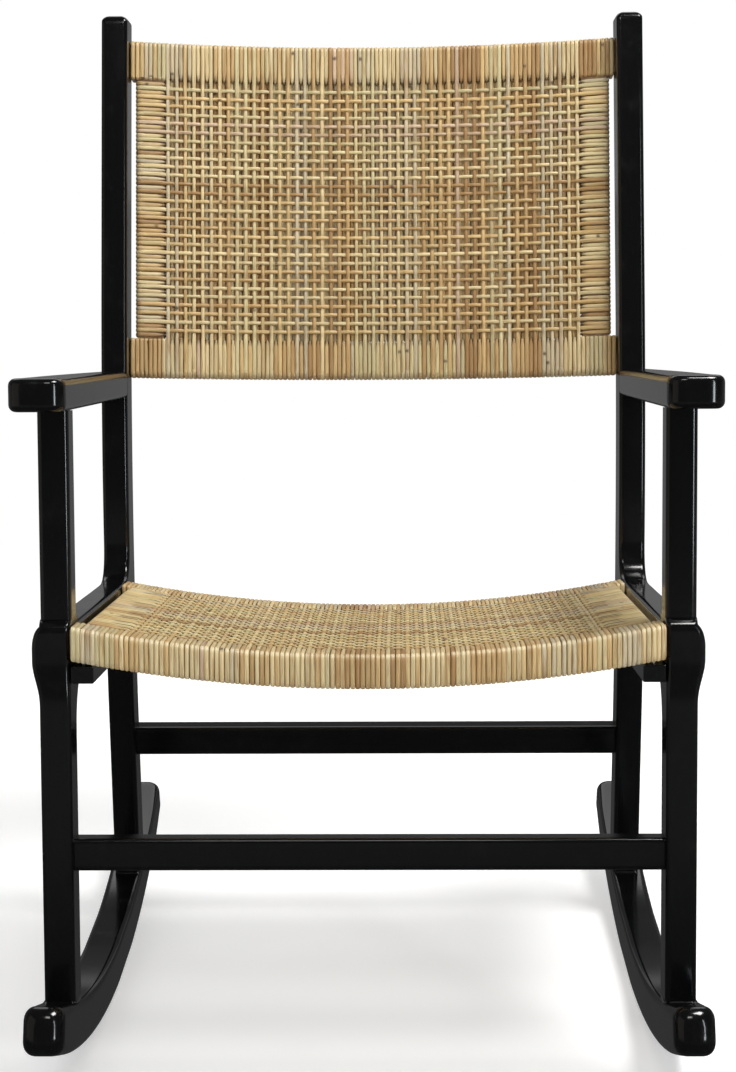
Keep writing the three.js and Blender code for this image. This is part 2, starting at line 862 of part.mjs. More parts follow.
place('back_top_rail', panelRail(true), rawWood);
place('back_bottom_rail', panelRail(false), rawWood);
place('seat_rattan', seatRattan(), rattan);
place('back_rattan', panelRattan(), rattan);

// The origin is on the floor, under the middle of the chair's own box
chair.rotation.x = -radians(chairLean);
chair.updateMatrixWorld(true);
const box = new THREE.Box3().setFromObject(chair, true);
chair.position.set(-(box.min.x + box.max.x) / 2, -(box.min.y + box.max.y) / 2, -box.min.z);

export default chair;
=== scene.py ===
import math
import random

import bmesh
import bpy
import numpy as np
from mathutils import Matrix, Vector


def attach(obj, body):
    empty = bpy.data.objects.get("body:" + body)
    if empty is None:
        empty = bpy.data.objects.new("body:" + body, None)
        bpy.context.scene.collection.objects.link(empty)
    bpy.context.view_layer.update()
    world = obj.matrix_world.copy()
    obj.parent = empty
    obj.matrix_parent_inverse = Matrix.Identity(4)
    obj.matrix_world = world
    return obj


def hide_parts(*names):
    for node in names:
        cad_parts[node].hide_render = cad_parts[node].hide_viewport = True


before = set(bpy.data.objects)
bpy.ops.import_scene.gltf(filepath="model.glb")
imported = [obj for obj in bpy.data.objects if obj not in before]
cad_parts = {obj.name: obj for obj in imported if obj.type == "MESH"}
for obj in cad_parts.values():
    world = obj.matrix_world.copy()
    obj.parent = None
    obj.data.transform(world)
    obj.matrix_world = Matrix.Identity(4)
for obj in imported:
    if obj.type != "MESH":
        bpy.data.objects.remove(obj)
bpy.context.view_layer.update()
print("frame loaded,", len(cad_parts), "solids")

# Lengths are millimetres until a mesh is made. Everything is drawn with the seat level
# and then leaned back onto the floor, the way the empty chair stands
mm = 0.001
tiny = 1e-6
quarter = math.pi / 2
sides = {"left": -1, "right": 1}
stance = {
    "lean": 5.9,  # degrees
    "shift": (0.0, -299.26, 27.18),
}
stanceTurn = Matrix.Rotation(math.radians(-stance["lean"]), 4, "X")
stancePlace = Matrix.Translation(Vector(stance["shift"]) * mm) @ stanceTurn


def leaned(points):
    # the same for an array of points
    lean = math.radians(stance["lean"])
    x, y, z = np.asarray(points, dtype=float).T
    turned = np.column_stack((
        x,
        y * math.cos(lean) + z * math.sin(lean),
        z * math.cos(lean) - y * math.sin(lean),
    ))
    return (turned + np.array(stance["shift"])) * mm


def limited(value, low=0.0, high=1.0):
    return min(max(value, low), high)


def lerp(low, high, share):
    return low + (high - low) * share


def spacing(start, end, steps):
    return [lerp(start, end, step / steps) for step in range(steps + 1)]


def smooth(share):
    share = np.clip(share, 0.0, 1.0)
    return share * share * (3.0 - 2.0 * share)


def smoothStep(low, high, value):
    return smooth((value - low) / (high - low))


def unit(vectors):
    return vectors / np.maximum(np.linalg.norm(vectors, axis=1, keepdims=True), tiny)


# shader tools


class Wire:
    # a socket with arithmetic: each operator adds a Math node
    def __init__(self, paint, socket):
        self.paint = paint
        self.socket = socket

    def __add__(self, other):
        return self.paint.maths("ADD", self, other)

    def __sub__(self, other):
        return self.paint.maths("SUBTRACT", self, other)

    def __rsub__(self, other):
        return self.paint.maths("SUBTRACT", other, self)

    def __mul__(self, other):
        return self.paint.maths("MULTIPLY", self, other)

    def __truediv__(self, other):
        return self.paint.maths("DIVIDE", self, other)

    def __rtruediv__(self, other):
        return self.paint.maths("DIVIDE", other, self)

    def __gt__(self, other):
        return self.paint.maths("GREATER_THAN", self, other)

    def __lt__(self, other):
        return self.paint.maths("LESS_THAN", self, other)

    __radd__ = __add__
    __rmul__ = __mul__


class Paint:
    # the node tree of a material or of the world
    def __init__(self, owner):
        owner.use_nodes = True
        self.owner = owner
        self.tree = owner.node_tree
        self.tree.nodes.clear()

    def feed(self, socket, value):
        if isinstance(value, Wire):
            self.tree.links.new(value.socket, socket)
        else:
            socket.default_value = value

    def node(self, kind, settings, sockets, output=0):
        # the output is a place or a name, or a tuple of them for several wires
        made = self.tree.nodes.new("ShaderNode" + kind)
        for key, value in settings.items():
            setattr(made, key, value)
        for key, value in sockets.items():
            self.feed(made.inputs[key], value)
        if isinstance(output, tuple):
            return [Wire(self, made.outputs[key]) for key in output]
        return Wire(self, made.outputs[output]) if made.outputs else None

    def maths(self, operation, first, second=0.0):
        return self.node("Math", {"operation": operation}, {0: first, 1: second})

    def blend(self, factor, first, second):
        return self.node("Mix", {"data_type": "RGBA"}, {0: factor, 6: first, 7: second}, 2)

    def stretch(self, vector, amounts):
        return self.node("VectorMath", {"operation": "MULTIPLY"}, {0: vector, 1: amounts})

    def noise(self, vector, scale, detail, roughness=0.5):
        sockets = {"Vector": vector, "Scale": scale, "Detail": detail, "Roughness": roughness}
        return self.node("TexNoise", {}, sockets)

    def ramp(self, value, low, high):
        sockets = {"Value": value, "From Min": low, "From Max": high}
        return self.node("MapRange", {"interpolation_type": "SMOOTHSTEP"}, sockets)

    def bump(self, height, distance, normal=None):
        sockets = {"Height": height, "Distance": distance}
        if normal:
            sockets["Normal"] = normal
        return self.node("Bump", {}, sockets)

    def glow(self, color):
        return self.node("Emission", {}, {"Color": color})

    def mixShaders(self, factor, first, second):
        return self.node("MixShader", {}, {0: factor, 1: first, 2: second})

    def finish(self, sockets):
        shader = self.node("BsdfPrincipled", {}, sockets)
        self.node("OutputMaterial", {}, {"Surface": shader})
        return self.owner


def newPaint(name):
    return Paint(bpy.data.materials.new(name))


# black lacquer

lacquerLook = {
    "color": (0.0022, 0.0023, 0.0027, 1.0),
    "dustColor": (0.0065, 0.0062, 0.0058, 1.0),
    "dust": (0.52, 0.80),  # the haze at which dust begins and at which it is full
    "roughness": 0.13,
    "roughnessSpread": 0.10,
    "peelScale": 95.0,  # how fine the orange peel is
    "peelDepth": 0.000035,  # metres
    "waveScale": 9.0,
    "waveDepth": 0.00016,
}


def lacquerMaterial(look):
    paint = newPaint("blackLacquer")
    place = paint.node("TexCoord", {}, {}, "Object")
    peel = paint.noise(place, look["peelScale"], 2.0)
    wave = paint.noise(place, look["waveScale"], 1.0)
    haze = paint.noise(place, look["waveScale"] * 3.0, 6.0, 0.7)
    dust = paint.ramp(haze, *look["dust"])
    wavy = paint.bump(wave, look["waveDepth"])
    return paint.finish({
        "Base Color": paint.blend(dust, look["color"], look["dustColor"]),
        "Roughness": look["roughness"] + dust * look["roughnessSpread"],
        "Normal": paint.bump(peel, look["peelDepth"], wavy),
    })


# rattan: each strand carries its own colour, with painted shade and painted highlight in it, and
# its own measure along and across

rattanLook = {
    "brown": (0.33, 0.175, 0.06, 1.0),
    "knot": (0.055, 0.028, 0.014, 1.0),
    "pale": (0.86, 0.76, 0.50, 1.0),
    "fibre": (0.030, 1.7, 83.0),  # how fast it changes along, across and between strands
    "blotch": (0.017, 0.35, 47.0),
    "groove": (0.012, 7.5, 61.0),
    "streaked": 0.72,  # how strongly the brown streaks show
    "lightened": 0.28,
    "blotched": 0.55,
    "edgeShade": 0.45,  # how much browner a strand is at its two edges: painted shade of the grooves between strands
    "knotted": 0.85,
    "roughness": 0.29,
    "roughnessSpread": 0.22,
    "knotSpacing": 210.0,  # millimetres along a strand
    "knotWidth": 3.2,
    "knotRarity": 0.82,  # the share of places along the strands that have no knot
    "grooveDepth": 0.00022,  # metres
}


def rattanMaterial(look):
    paint = newPaint("rattanSkin")
    color = paint.node("Attribute", {"attribute_name": "strandColor"}, {}, "Color")
    place = paint.node("Attribute", {"attribute_name": "strandPlace"}, {}, "Vector")
    along, across, seed = paint.node("SeparateXYZ", {}, {0: place}, (0, 1, 2))
    fibre = paint.noise(paint.stretch(place, look["fibre"]), 1.0, 4.0, 0.62)
    blotch = paint.noise(paint.stretch(place, look["blotch"]), 1.0, 2.0)
    groove = paint.noise(paint.stretch(place, look["groove"]), 1.0, 2.0)
    edge = across * across
    # a strand is cut into cells, and a few of them have a knot in their middle
    cell = along / look["knotSpacing"] + seed * 17.3
    number = paint.maths("FLOOR", cell) + seed
    chance = paint.node("TexWhiteNoise", {"noise_dimensions": "1D"}, {"W": number}, "Value")
    distance = paint.maths("ABSOLUTE", paint.maths("FRACT", cell) - 0.5)
    wobble = (fibre - 0.5) * 0.02
    offset = paint.maths("ABSOLUTE", across - (chance - 0.88) * 6.0)
    spot = paint.ramp(distance + wobble, look["knotWidth"] / look["knotSpacing"], 0.0)
    knot = spot * paint.ramp(offset, 1.15, 0.35) * (chance > look["knotRarity"])
    streaked = paint.blend(paint.ramp(fibre, 0.49, 0.70) * look["streaked"], color, look["brown"])
    lighter = paint.blend(paint.ramp(fibre, 0.47, 0.22) * look["lightened"], streaked, look["pale"])
    patched = paint.blend(paint.ramp(blotch, 0.53, 0.70) * look["blotched"], lighter, look["brown"])
    # painted shade: each strand is browner towards its edges, where it meets the groove to its
    # neighbour
    edgeShade = paint.blend(edge * edge * look["edgeShade"], patched, look["brown"])
    return paint.finish({
        "Base Color": paint.blend(knot * look["knotted"], edgeShade, look["knot"]),
        "Roughness": look["roughness"] + fibre * look["roughnessSpread"] + knot * 0.2,
        "Normal": paint.bump(groove + fibre * 0.5 + knot * 1.5, look["grooveDepth"]),
    })


# bare wood of the hidden frames, dowels and tenons

woodLook = {
    "light": (0.50, 0.34, 0.19, 1.0),
    "dark": (0.27, 0.15, 0.07, 1.0),
    "roughness": 0.62,
    "roughnessSpread": 0.2,
    "grainScale": 42.0,
    "grainLength": 0.06,  # less makes the grain longer
    "poreScale": 378.0,
    "poreDepth": 0.00012,
}


def woodMaterial(look, direction):
    paint = newPaint("bareWood" + direction)
    along = [look["grainLength"] if axis == direction else 1.0 for axis in "XYZ"]
    place = paint.stretch(paint.node("TexCoord", {}, {}, "Object"), along)
    grain = paint.noise(place, look["grainScale"], 5.0, 0.6)
    pore = paint.noise(place, look["poreScale"], 2.0)
    return paint.finish({
        "Base Color": paint.blend(paint.ramp(grain, 0.35, 0.68), look["dark"], look["light"]),
        "Roughness": look["roughness"] + grain * look["roughnessSpread"],
        "Normal": paint.bump(pore, look["poreDepth"]),
    })


# steel of the hidden screws

screwLook = {
    "color": (0.46, 0.47, 0.49, 1.0),
    "shade": (0.30, 0.30, 0.31, 1.0),
    "roughness": 0.30,
    "roughnessSpread": 0.25,
    "scratchScale": 900.0,
    "scratchDepth": 0.00004,
    "spotScale": 160.0,
}


def screwMaterial(look):
    paint = newPaint("screwSteel")
    place = paint.node("TexCoord", {}, {}, "Object")
    scratch = paint.noise(paint.stretch(place, (1.0, 1.0, 0.1)), look["scratchScale"], 3.0)
    spots = paint.noise(place, look["spotScale"], 4.0)
    return paint.finish({
        "Base Color": paint.blend(paint.ramp(spots, 0.4, 0.7), look["color"], look["shade"]),
        "Metallic": 1.0,
        "Roughness": look["roughness"] + scratch * look["roughnessSpread"],
        "Normal": paint.bump(scratch, look["scratchDepth"]),
    })


lacquer = lacquerMaterial(lacquerLook)
rattan = rattanMaterial(rattanLook)
wood = {direction: woodMaterial(woodLook, direction) for direction in "XYZ"}
screwSteel = screwMaterial(screwLook)
print("materials mixed")


# mesh tools


def bent(start, control, end, share):
    return start.lerp(control, share).lerp(control.lerp(end, share), share)


def softened(corners, steps=10):
    # corners are (u, v) or (u, v, reach); a reach turns the corner into a curve
    outline = []
    for index, (u, v, *reach) in enumerate(corners):
        corner = Vector((u, v))
        if not reach or reach[0] <= 0:
            outline.append(corner)
            continue
        before = Vector(corners[index - 1][:2])
        after = Vector(corners[(index + 1) % len(corners)][:2])
        start = corner + (before - corner).normalized() * reach[0]
        end = corner + (after - corner).normalized() * reach[0]
        outline += [bent(start, corner, end, step / steps) for step in range(steps + 1)]
    return [(point.x, point.y) for point in outline]


def rectangle(left, right, low, high, radius, steps=8):
    corners = ((left, low), (right, low), (right, high), (left, high))
    return softened([(u, v, radius) for u, v in corners], steps)


def insetOutline(outline, distance):
    points = np.array(outline)
    before = points - np.roll(points, 1, axis=0)
    after = np.roll(points, -1, axis=0) - points
    u, v = points.T
    area = np.sum(u * np.roll(v, -1) - np.roll(u, -1) * v)
    turn = 1.0 if area > 0 else -1.0

    def outward(edges):
        return unit(np.column_stack((edges[:, 1], -edges[:, 0]))) * turn

    first, second = outward(before), outward(after)
    dot = np.sum(first * second, axis=1, keepdims=True)
    mitre = (first + second) / np.maximum(1.0 + dot, 0.3)
    return points - mitre * distance


def skin(bm, rings):
    # faces from each ring of vertices to the next
    for lower, upper in zip(rings, rings[1:]):
        for index in range(len(lower)):
            after = (index + 1) % len(lower)
            bm.faces.new((lower[index], lower[after], upper[after], upper[index]))


def pointAt(u, v, level, axis):
    return {"x": (level, u, v), "y": (u, level, v), "z": (u, v, level)}[axis]


def slabMesh(outline, low, high, axis, rounding=0.0, rimSteps=5):
    # an outline pushed along an axis, with its two rims rounded over
    rims = [(0.0, 0.0)]
    if rounding > 0:
        angles = [quarter * step / rimSteps for step in range(rimSteps + 1)]
        rims = [(rounding * (1 - math.sin(a)), rounding * (1 - math.cos(a))) for a in angles]
    levels = [(inset, low + rise) for inset, rise in rims]
    levels += [(inset, high - rise) for inset, rise in reversed(rims)]
    bm = bmesh.new()
    rings = []
    for inset, level in levels:
        flat = insetOutline(outline, inset)
        rings.append([bm.verts.new(pointAt(u, v, level, axis)) for u, v in flat])
    skin(bm, rings)
    bm.faces.new(rings[0])
    bm.faces.new(rings[-1])
    bmesh.ops.recalc_face_normals(bm, faces=bm.faces)
    return bm


def cutThrough(bm, point, normal, **options):
    everything = bm.verts[:] + bm.edges[:] + bm.faces[:]
    return bmesh.ops.bisect_plane(bm, geom=everything, plane_co=point, plane_no=normal, **options)


def cutRows(bm, places, direction):
    # adds rows of vertices square to a direction, so that a slab can be bent there
    for place in places:
        cutThrough(bm, Vector(direction) * place, direction)


def trim(bm, point, normal):
    # cuts off what lies beyond a plane and closes the end
    cut = cutThrough(bm, point, normal, clear_outer=True)
    edges = [item for item in cut["geom_cut"] if isinstance(item, bmesh.types.BMEdge)]
    bmesh.ops.edgeloop_fill(bm, edges=edges)


def shape(bm, move):
    for vertex in bm.verts:
        vertex.co = Vector(move(*vertex.co))


def placed(name, data):
    thing = bpy.data.objects.new(name, data)
    bpy.context.scene.collection.objects.link(thing)
    return thing


def ready(name, mesh, material, node):
    mesh.materials.append(material)
    piece = placed(name, mesh)
    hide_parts(node)
    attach(piece, "root")
    return piece


def lacquered(name, bm, side=1, sharpAngle=38.0):
    # finishes a mesh that is drawn for the right side or the middle, and mirrors it if asked
    shape(bm, lambda x, y, z: (side * x, y, z))
    bmesh.ops.remove_doubles(bm, verts=bm.verts, dist=0.001)
    bmesh.ops.recalc_face_normals(bm, faces=bm.faces)
    for vertex in bm.verts:
        vertex.co = stancePlace @ (vertex.co * mm)
    for face in bm.faces:
        face.smooth = True
    for line in bm.edges:
        bend = line.calc_face_angle(0.0) if len(line.link_faces) == 2 else 0.0
        line.smooth = bend < math.radians(sharpAngle)
    mesh = bpy.data.meshes.new(name)
    bm.to_mesh(mesh)
    bm.free()
    piece = ready(name, mesh, lacquer, name)
    normals = piece.modifiers.new("flatFaces", "WEIGHTED_NORMAL")
    normals.keep_sharp = True
    normals.weight = 90


# frame sizes that several pieces share

frameSizes = {
    "inner": 271.2,  # inner faces of the legs and posts
    "outer": 300.0,
    "edge": 4.6,  # how far the edges are rounded over
    "joint": 0.15,  # half the hairline at a joint
    "footFlare": 1.9,  # the hollow curve that runs from a leg into the rocker's top
    "footSink": 8.0,  # how far a leg is drawn down into the rocker before it is fitted
}
inner, outer = frameSizes["inner"], frameSizes["outer"]
edge, joint = frameSizes["edge"], frameSizes["joint"]
middle = (inner + outer) / 2
memberHalf = (outer - inner) / 2
spare = 3 * edge  # how far an outline runs past the face where it is trimmed
softEdge = edge * 1.3  # reach of the curve that looks as round as a rounded rim

# the side rails run from the front leg's knuckle to the back post's haunch
railSizes = {"top": 419.0, "bottom": 369.0, "front": 58.0, "back": 370.0}


# rockers

rockerSizes = {
    "radius": 1032.0,
    "thickness": 44.0,
    "contact": 223.0,  # the lowest place while the seat is level
    "frontEnd": -97.0,
    "rearEnd": 682.0,
    "inner": 269.5,
    "outer": 307.5,
    "rounding": 7.0,
    "crown": 1.2,  # how far the sides swell between their edges
    "tipRounding": 16.0,
    "tipLength": 15.0,
    "tipPower": 2.2,  # 2 rounds the tip like a circle, more makes it squarer
    "tipSofter": 6.0,  # how much rounder the section is at the tips
    "softReach": 70.0,
    "restLength": 100.0,  # of the flat that the empty chair stands on
    "steps": 84,
    "tipSteps": 8,
    "sharpAngle": 80.0,
}


def rockerPoint(radius, angle):
    size = rockerSizes
    return (
        size["contact"] + radius * math.sin(angle),
        size["radius"] - radius * math.cos(angle),
    )


def rockerTop(y):
    radius = rockerSizes["radius"] - rockerSizes["thickness"]
    run = y - rockerSizes["contact"]
    return rockerSizes["radius"] - math.sqrt(radius * radius - run * run)


def rockerSection(inset, softer):
    # across the rocker: (x, height above its lower edge), rounded and a little crowned
    size = rockerSizes
    half = size["thickness"] / 2
    centre = (size["inner"] + size["outer"]) / 2
    wide = (size["outer"] - size["inner"]) / 2 - inset
    radius = min(size["rounding"] + softer, wide * 0.9)
    swell = size["crown"] + softer * 0.3
    corners = rectangle(centre - wide, centre + wide, inset, 2 * half - inset, radius, 9)
    section = []
    for x, height in corners:
        share = abs(height - half) / half
        section.append((centre + (x - centre) * (1 - swell * share * share / (2 * half)), height))
    return section


def rocker():
    size = rockerSizes
    radius, length, power = size["radius"], size["tipLength"], size["tipPower"]
    front = math.asin((size["frontEnd"] - size["contact"]) / radius)
    rear = math.asin((size["rearEnd"] - size["contact"]) / radius)
    rest = math.radians(stance["lean"])
    half = math.asin(size["restLength"] / 2 / radius)
    reach = length / radius
    tip = [1 - math.cos(quarter * step / size["tipSteps"]) for step in range(size["tipSteps"] + 1)]
    angles = [front + reach * share for share in tip]
    angles += spacing(front + reach, rear - reach, size["steps"])[1:-1]
    angles += [rear - reach * share for share in reversed(tip)]
    bm = bmesh.new()
    rings = []
    for angle in angles:
        fromTip = min(angle - front, rear - angle) * radius
        depth = limited(1 - fromTip / length)
        inset = size["tipRounding"] * (1 - (1 - depth ** power) ** (1 / power))
        softer = size["tipSofter"] * (1 - smoothStep(0.0, size["softReach"], fromTip))
        lowest = radius
        if abs(angle - rest) <= half:
            lowest = radius * math.cos(half) / math.cos(angle - rest)
        ring = []
        for x, height in rockerSection(inset, softer):
            y, z = rockerPoint(lowest - height, angle)
            ring.append(bm.verts.new((x, y, z)))
        rings.append(ring)
    skin(bm, rings)
    for ring in (rings[0], rings[-1]):
        centre = bm.verts.new(sum((vertex.co for vertex in ring), Vector()) / len(ring))
        for index, vertex in enumerate(ring):
            bm.faces.new((vertex, ring[(index + 1) % len(ring)], centre))
    return bm


def flared(x, y, z, frontY, backY):
    # opens a leg's foot onto the rocker's top
    reach = frameSizes["footFlare"]
    height = z - rockerTop(y)
    if height >= reach:
        return x, y, z
    drop = reach - max(height, 0.0)
    out = reach - math.sqrt(max(reach * reach - drop * drop, 0.0))
    deep = (frontY + backY) / 2
    x += out * limited((x - middle) / (memberHalf - edge), -1.0, 1.0)
    y += out * limited((y - deep) / ((backY - frontY) / 2 - edge), -1.0, 1.0)
    rounding = rockerSizes["rounding"]
    beyond = max(x - rockerSizes["outer"] + rounding, 0.0)
    lower = rounding - math.sqrt(max(rounding * rounding - beyond * beyond, 0.0))
    return x, y, max(z, rockerTop(y) - lower + joint)


# back posts, with the rear legs as their lower ends

postSizes = {
    "depth": 45.0,
    "top": 1044.5,
    "topRounding": 9.0,
    "topCorner": 6.5,
    "vertexFront": 413.3,  # the bend's foremost place
    "vertexHeight": 540.0,
    "bendRadius": 1700.0,
    "upperRake": 6.7,  # degrees
    "lowerRake": 9.5,
    "haunchUpper": 41.0,
    "haunchLower": 28.0,
    "footHeight": 40.0,  # about where the rear leg meets the rocker
    "footRows": (-4, -2, 0, 1, 2, 3, 4, 6, 8),
    "steps": 26,
    "topSteps": 6,
}


def postFront(height):
    size = postSizes
    upper, lower = math.radians(size["upperRake"]), math.radians(size["lowerRake"])
    above = size["vertexHeight"] + size["bendRadius"] * math.sin(upper)
    below = size["vertexHeight"] - size["bendRadius"] * math.sin(lower)
    run = limited(height, below, above) - size["vertexHeight"]
    arc = size["bendRadius"] - math.sqrt(size["bendRadius"] ** 2 - run * run)
    straight = max(height - above, 0) * math.tan(upper) + max(below - height, 0) * math.tan(lower)
    return size["vertexFront"] + arc + straight


def backPost():
    size, rail = postSizes, railSizes
    depth, top, corner, steps = size["depth"], size["top"], size["topCorner"], size["steps"]
    base = rockerTop(postFront(size["footHeight"]) + depth / 2) - frameSizes["footSink"]
    lows = spacing(base, rail["bottom"] - size["haunchLower"] - 1, steps)
    highEnd = top - size["topRounding"] - 1
    highs = spacing(rail["top"] + size["haunchUpper"] + 1, highEnd, steps)
    corners = [(postFront(z), z) for z in lows]
    corners += [
        (postFront(rail["bottom"]), rail["bottom"], size["haunchLower"]),
        (rail["back"] - spare, rail["bottom"]),
        (rail["back"] - spare, rail["top"]),
        (postFront(rail["top"]), rail["top"], size["haunchUpper"]),
    ]
    corners += [(postFront(z), z) for z in highs]
    corners += [
        (postFront(top), top, size["topRounding"]),
        (postFront(top) + depth, top, size["topRounding"]),
    ]
    corners += [(postFront(z) + depth, z) for z in reversed(spacing(base, highEnd, 2 * steps))]
    bm = slabMesh(softened(corners, 12), inner, outer, "x", edge)
    trim(bm, (0, rail["back"] + joint, 0), (0, -1, 0))
    turns = [quarter * step / size["topSteps"] for step in range(1, size["topSteps"] + 1)]
    cutRows(bm, [top - corner * (1 - math.cos(turn)) for turn in turns], (0, 0, 1))
    foot = rockerTop(postFront(base) + depth / 2)
    cutRows(bm, [foot + offset for offset in size["footRows"]], (0, 0, 1))

    def dress(x, y, z):
        drop = max(z - (top - corner), 0.0)
        half = memberHalf - corner + math.sqrt(max(corner * corner - drop * drop, 0.0))
        x = middle + (x - middle) * half / memberHalf
        return flared(x, y, z, postFront(z), postFront(z) + depth)

    shape(bm, dress)
    return bm


# front legs, with the swollen knuckle that carries the arm post

legSizes = {
    "front": -10.0,
    "back": 29.5,
    "swell": 7.2,
    "swellLow": 1.3,  # more than 1 makes the swell begin later
    "swellHigh": 0.7,  # less than 1 makes its shoulder rounder
    "knuckleTop": 426.0,
    "crownBack": 41.0,
    "crown": 14.0,
    "shoulder": 20.0,
    "shoulderTop": 420.0,
    "square": (2.0, 38.0, 59.5),  # where the top is square under the arm post, and round again
    "faceCrown": 4.0,  # how far the knuckle's front face is domed
    "taperStart": 346.0,
    "taperEnd": 388.0,
    "kneeHeight": 352.0,
    "kneeCurve": 40.0,
    "kneeReach": 31.2,
    "corner": 2.0,
    "rowSpacing": 3.0,
    "footRows": (-3, -1.5, 0, 1, 2, 3, 4, 6, 8, 10),
}


def knuckleSwell(height):
    size = legSizes
    low = 1.0 - smooth((size["taperEnd"] - height) / (size["taperEnd"] - size["taperStart"]))
    rise = limited((height - size["shoulderTop"]) / size["shoulder"] + 1.0)
    return size["swell"] * low ** size["swellLow"] * (1.0 - rise * rise) ** size["swellHigh"]


def frontLeg():
    size, rail = legSizes, railSizes
    front, back, top = size["front"], size["back"], size["knuckleTop"]
    foot = rockerTop((front + back) / 2)
    kneeStart = size["kneeHeight"] - size["kneeCurve"] - 1
    straight = spacing(foot - frameSizes["footSink"], kneeStart, 12)
    corners = [(front, z) for z in straight]
    corners += [
        (front, top, size["crown"]),
        (size["crownBack"], top, softEdge),
        (size["crownBack"] + top - rail["top"], rail["top"], size["corner"]),
        (rail["front"] + spare, rail["top"]),
        (rail["front"] + spare, rail["bottom"]),
        (rail["front"], rail["bottom"], size["corner"]),
        (back, size["kneeHeight"], size["kneeReach"]),
    ]
    corners += [(back, z) for z in reversed(straight)]
    bm = slabMesh(softened(corners, 14), inner, outer, "x", edge)
    trim(bm, (0, rail["front"] - joint, 0), (0, 1, 0))
    rows = list(np.arange(size["taperStart"], top - 0.5, size["rowSpacing"]))
    rows += [foot + offset for offset in size["footRows"]]
    cutRows(bm, rows, (0, 0, 1))
    squareStart, squareEnd, roundAgain = size["square"]

    def dress(x, y, z):
        share = (x - inner) / (outer - inner)
        under = smoothStep(front, squareStart, y) * (1 - smoothStep(squareEnd, roundAgain, y))
        if z > top - edge - tiny:
            x = lerp(x, inner if x < middle else outer, under)
        swell = knuckleSwell(z)
        nearFront = 1 - smoothStep(front, back, y)
        y += size["faceCrown"] * swell / size["swell"] * nearFront * (2 * share - 1) ** 2
        x += swell * smoothStep(0.1, 0.9, share)
        return flared(x, y, z, front, back)

    shape(bm, dress)
    return bm


# arm posts and arms

armSizes = {
    "postFront": 2.0,
    "postBack": 36.0,
    "top": 647.0,
    "thickness": 30.0,
    "front": -52.0,
    "innerFront": 266.2,
    "innerRear": 271.2,
    "outerFront": 318.0,
    "outerMiddle": 317.0,
    "outerRear": 300.0,
    "waist": 120.0,  # where the outer edge begins to turn in
    "fullness": 4.0,
    "nose": 18.0,
    "rounding": 6.5,
    "rise": 3.2,  # how much higher the arm is at the back post than over its own post
}


def armPost():
    size = armSizes
    outline = rectangle(inner, outer, size["postFront"], size["postBack"], softEdge)
    low = legSizes["knuckleTop"] + joint
    high = size["top"] - size["thickness"] - joint
    bm = slabMesh(outline, low, high, "z")
    cutRows(bm, spacing(low, high, 8)[1:-1], (0, 0, 1))
    return bm


def armOuterEdge(reach):
    size = armSizes
    start = Vector((size["outerMiddle"], size["waist"]))
    mean = (size["outerMiddle"] + size["outerRear"]) / 2 + size["fullness"]
    control = Vector((mean, (size["waist"] + reach) / 2))
    end = Vector((size["outerRear"], reach))
    return [tuple(bent(start, control, end, share)) for share in spacing(0.0, 1.0, 24)]


def arm():
    size = armSizes
    front, top, thickness = size["postFront"], size["top"], size["thickness"]
    level = top - thickness / 2
    rear = postFront(level)
    reach = rear + 3 * size["rounding"]
    corners = [
        (size["innerFront"], size["front"], size["nose"]),
        (size["outerFront"], size["front"], size["nose"]),
    ]
    corners += armOuterEdge(reach) + [(size["innerRear"], reach)]
    bm = slabMesh(softened(corners, 14), top - thickness, top, "z", size["rounding"], 6)
    slope = (postFront(level + 10) - postFront(level - 10)) / 20
    trim(bm, (0, rear - 2 * joint, level), (0, 1, -slope))
    cutRows(bm, spacing(front, rear - 4, 10), (0, 1, 0))
    shape(bm, lambda x, y, z: (x, y, z + size["rise"] * max(y - front, 0) / (rear - front)))
    return bm


# wooden plugs over the arms' screws

plugSizes = {"height": 632.0, "radius": 6.5, "depth": 9.0, "crown": 0.8, "steps": 40}


def armPlug():
    size = plugSizes
    back = postFront(size["height"]) + postSizes["depth"]
    turns = [2 * math.pi * step / size["steps"] for step in range(size["steps"])]
    outline = [
        (middle + size["radius"] * math.cos(turn), size["height"] + size["radius"] * math.sin(turn))
        for turn in turns
    ]
    return slabMesh(outline, back - size["depth"], back + size["crown"], "y", size["crown"], 3)


# side rails and the cleats that carry the seat


def sideRail():
    outline = rectangle(inner, outer, railSizes["bottom"], railSizes["top"], softEdge)
    return slabMesh(outline, railSizes["front"] + joint, railSizes["back"] - joint, "y")


cleatSizes = {
    "width": 21.0, "bottom": 368.4, "top": 384.4, "front": -8.0, "back": 380.0, "rounding": 1.2,
}


def cleat():
    size = cleatSizes
    left, right = inner - size["width"], inner - 2 * joint
    outline = rectangle(left, right, size["bottom"], size["top"], size["rounding"], 4)
    return slabMesh(outline, size["front"], size["back"], "y", size["rounding"], 3)


# stretchers

stretcherSizes = {
    "depth": 24.0,
    "rounding": 4.5,
    "front": {"y": 9.75, "z": 208.3, "height": 30.0, "tilt": 0.0},
    "rear": {"z": 232.5, "height": 32.5, "tilt": 9.5},
}


def stretcher(y, z, height, tilt):
    deep, tall = stretcherSizes["depth"] / 2, height / 2
    turn = math.radians(tilt)
    outline = []
    for u, v in rectangle(-deep, deep, -tall, tall, stretcherSizes["rounding"]):
        outline.append((
            y + u * math.cos(turn) - v * math.sin(turn),
            z + u * math.sin(turn) + v * math.cos(turn),
        ))
    return slabMesh(outline, joint - inner, inner - joint, "x")


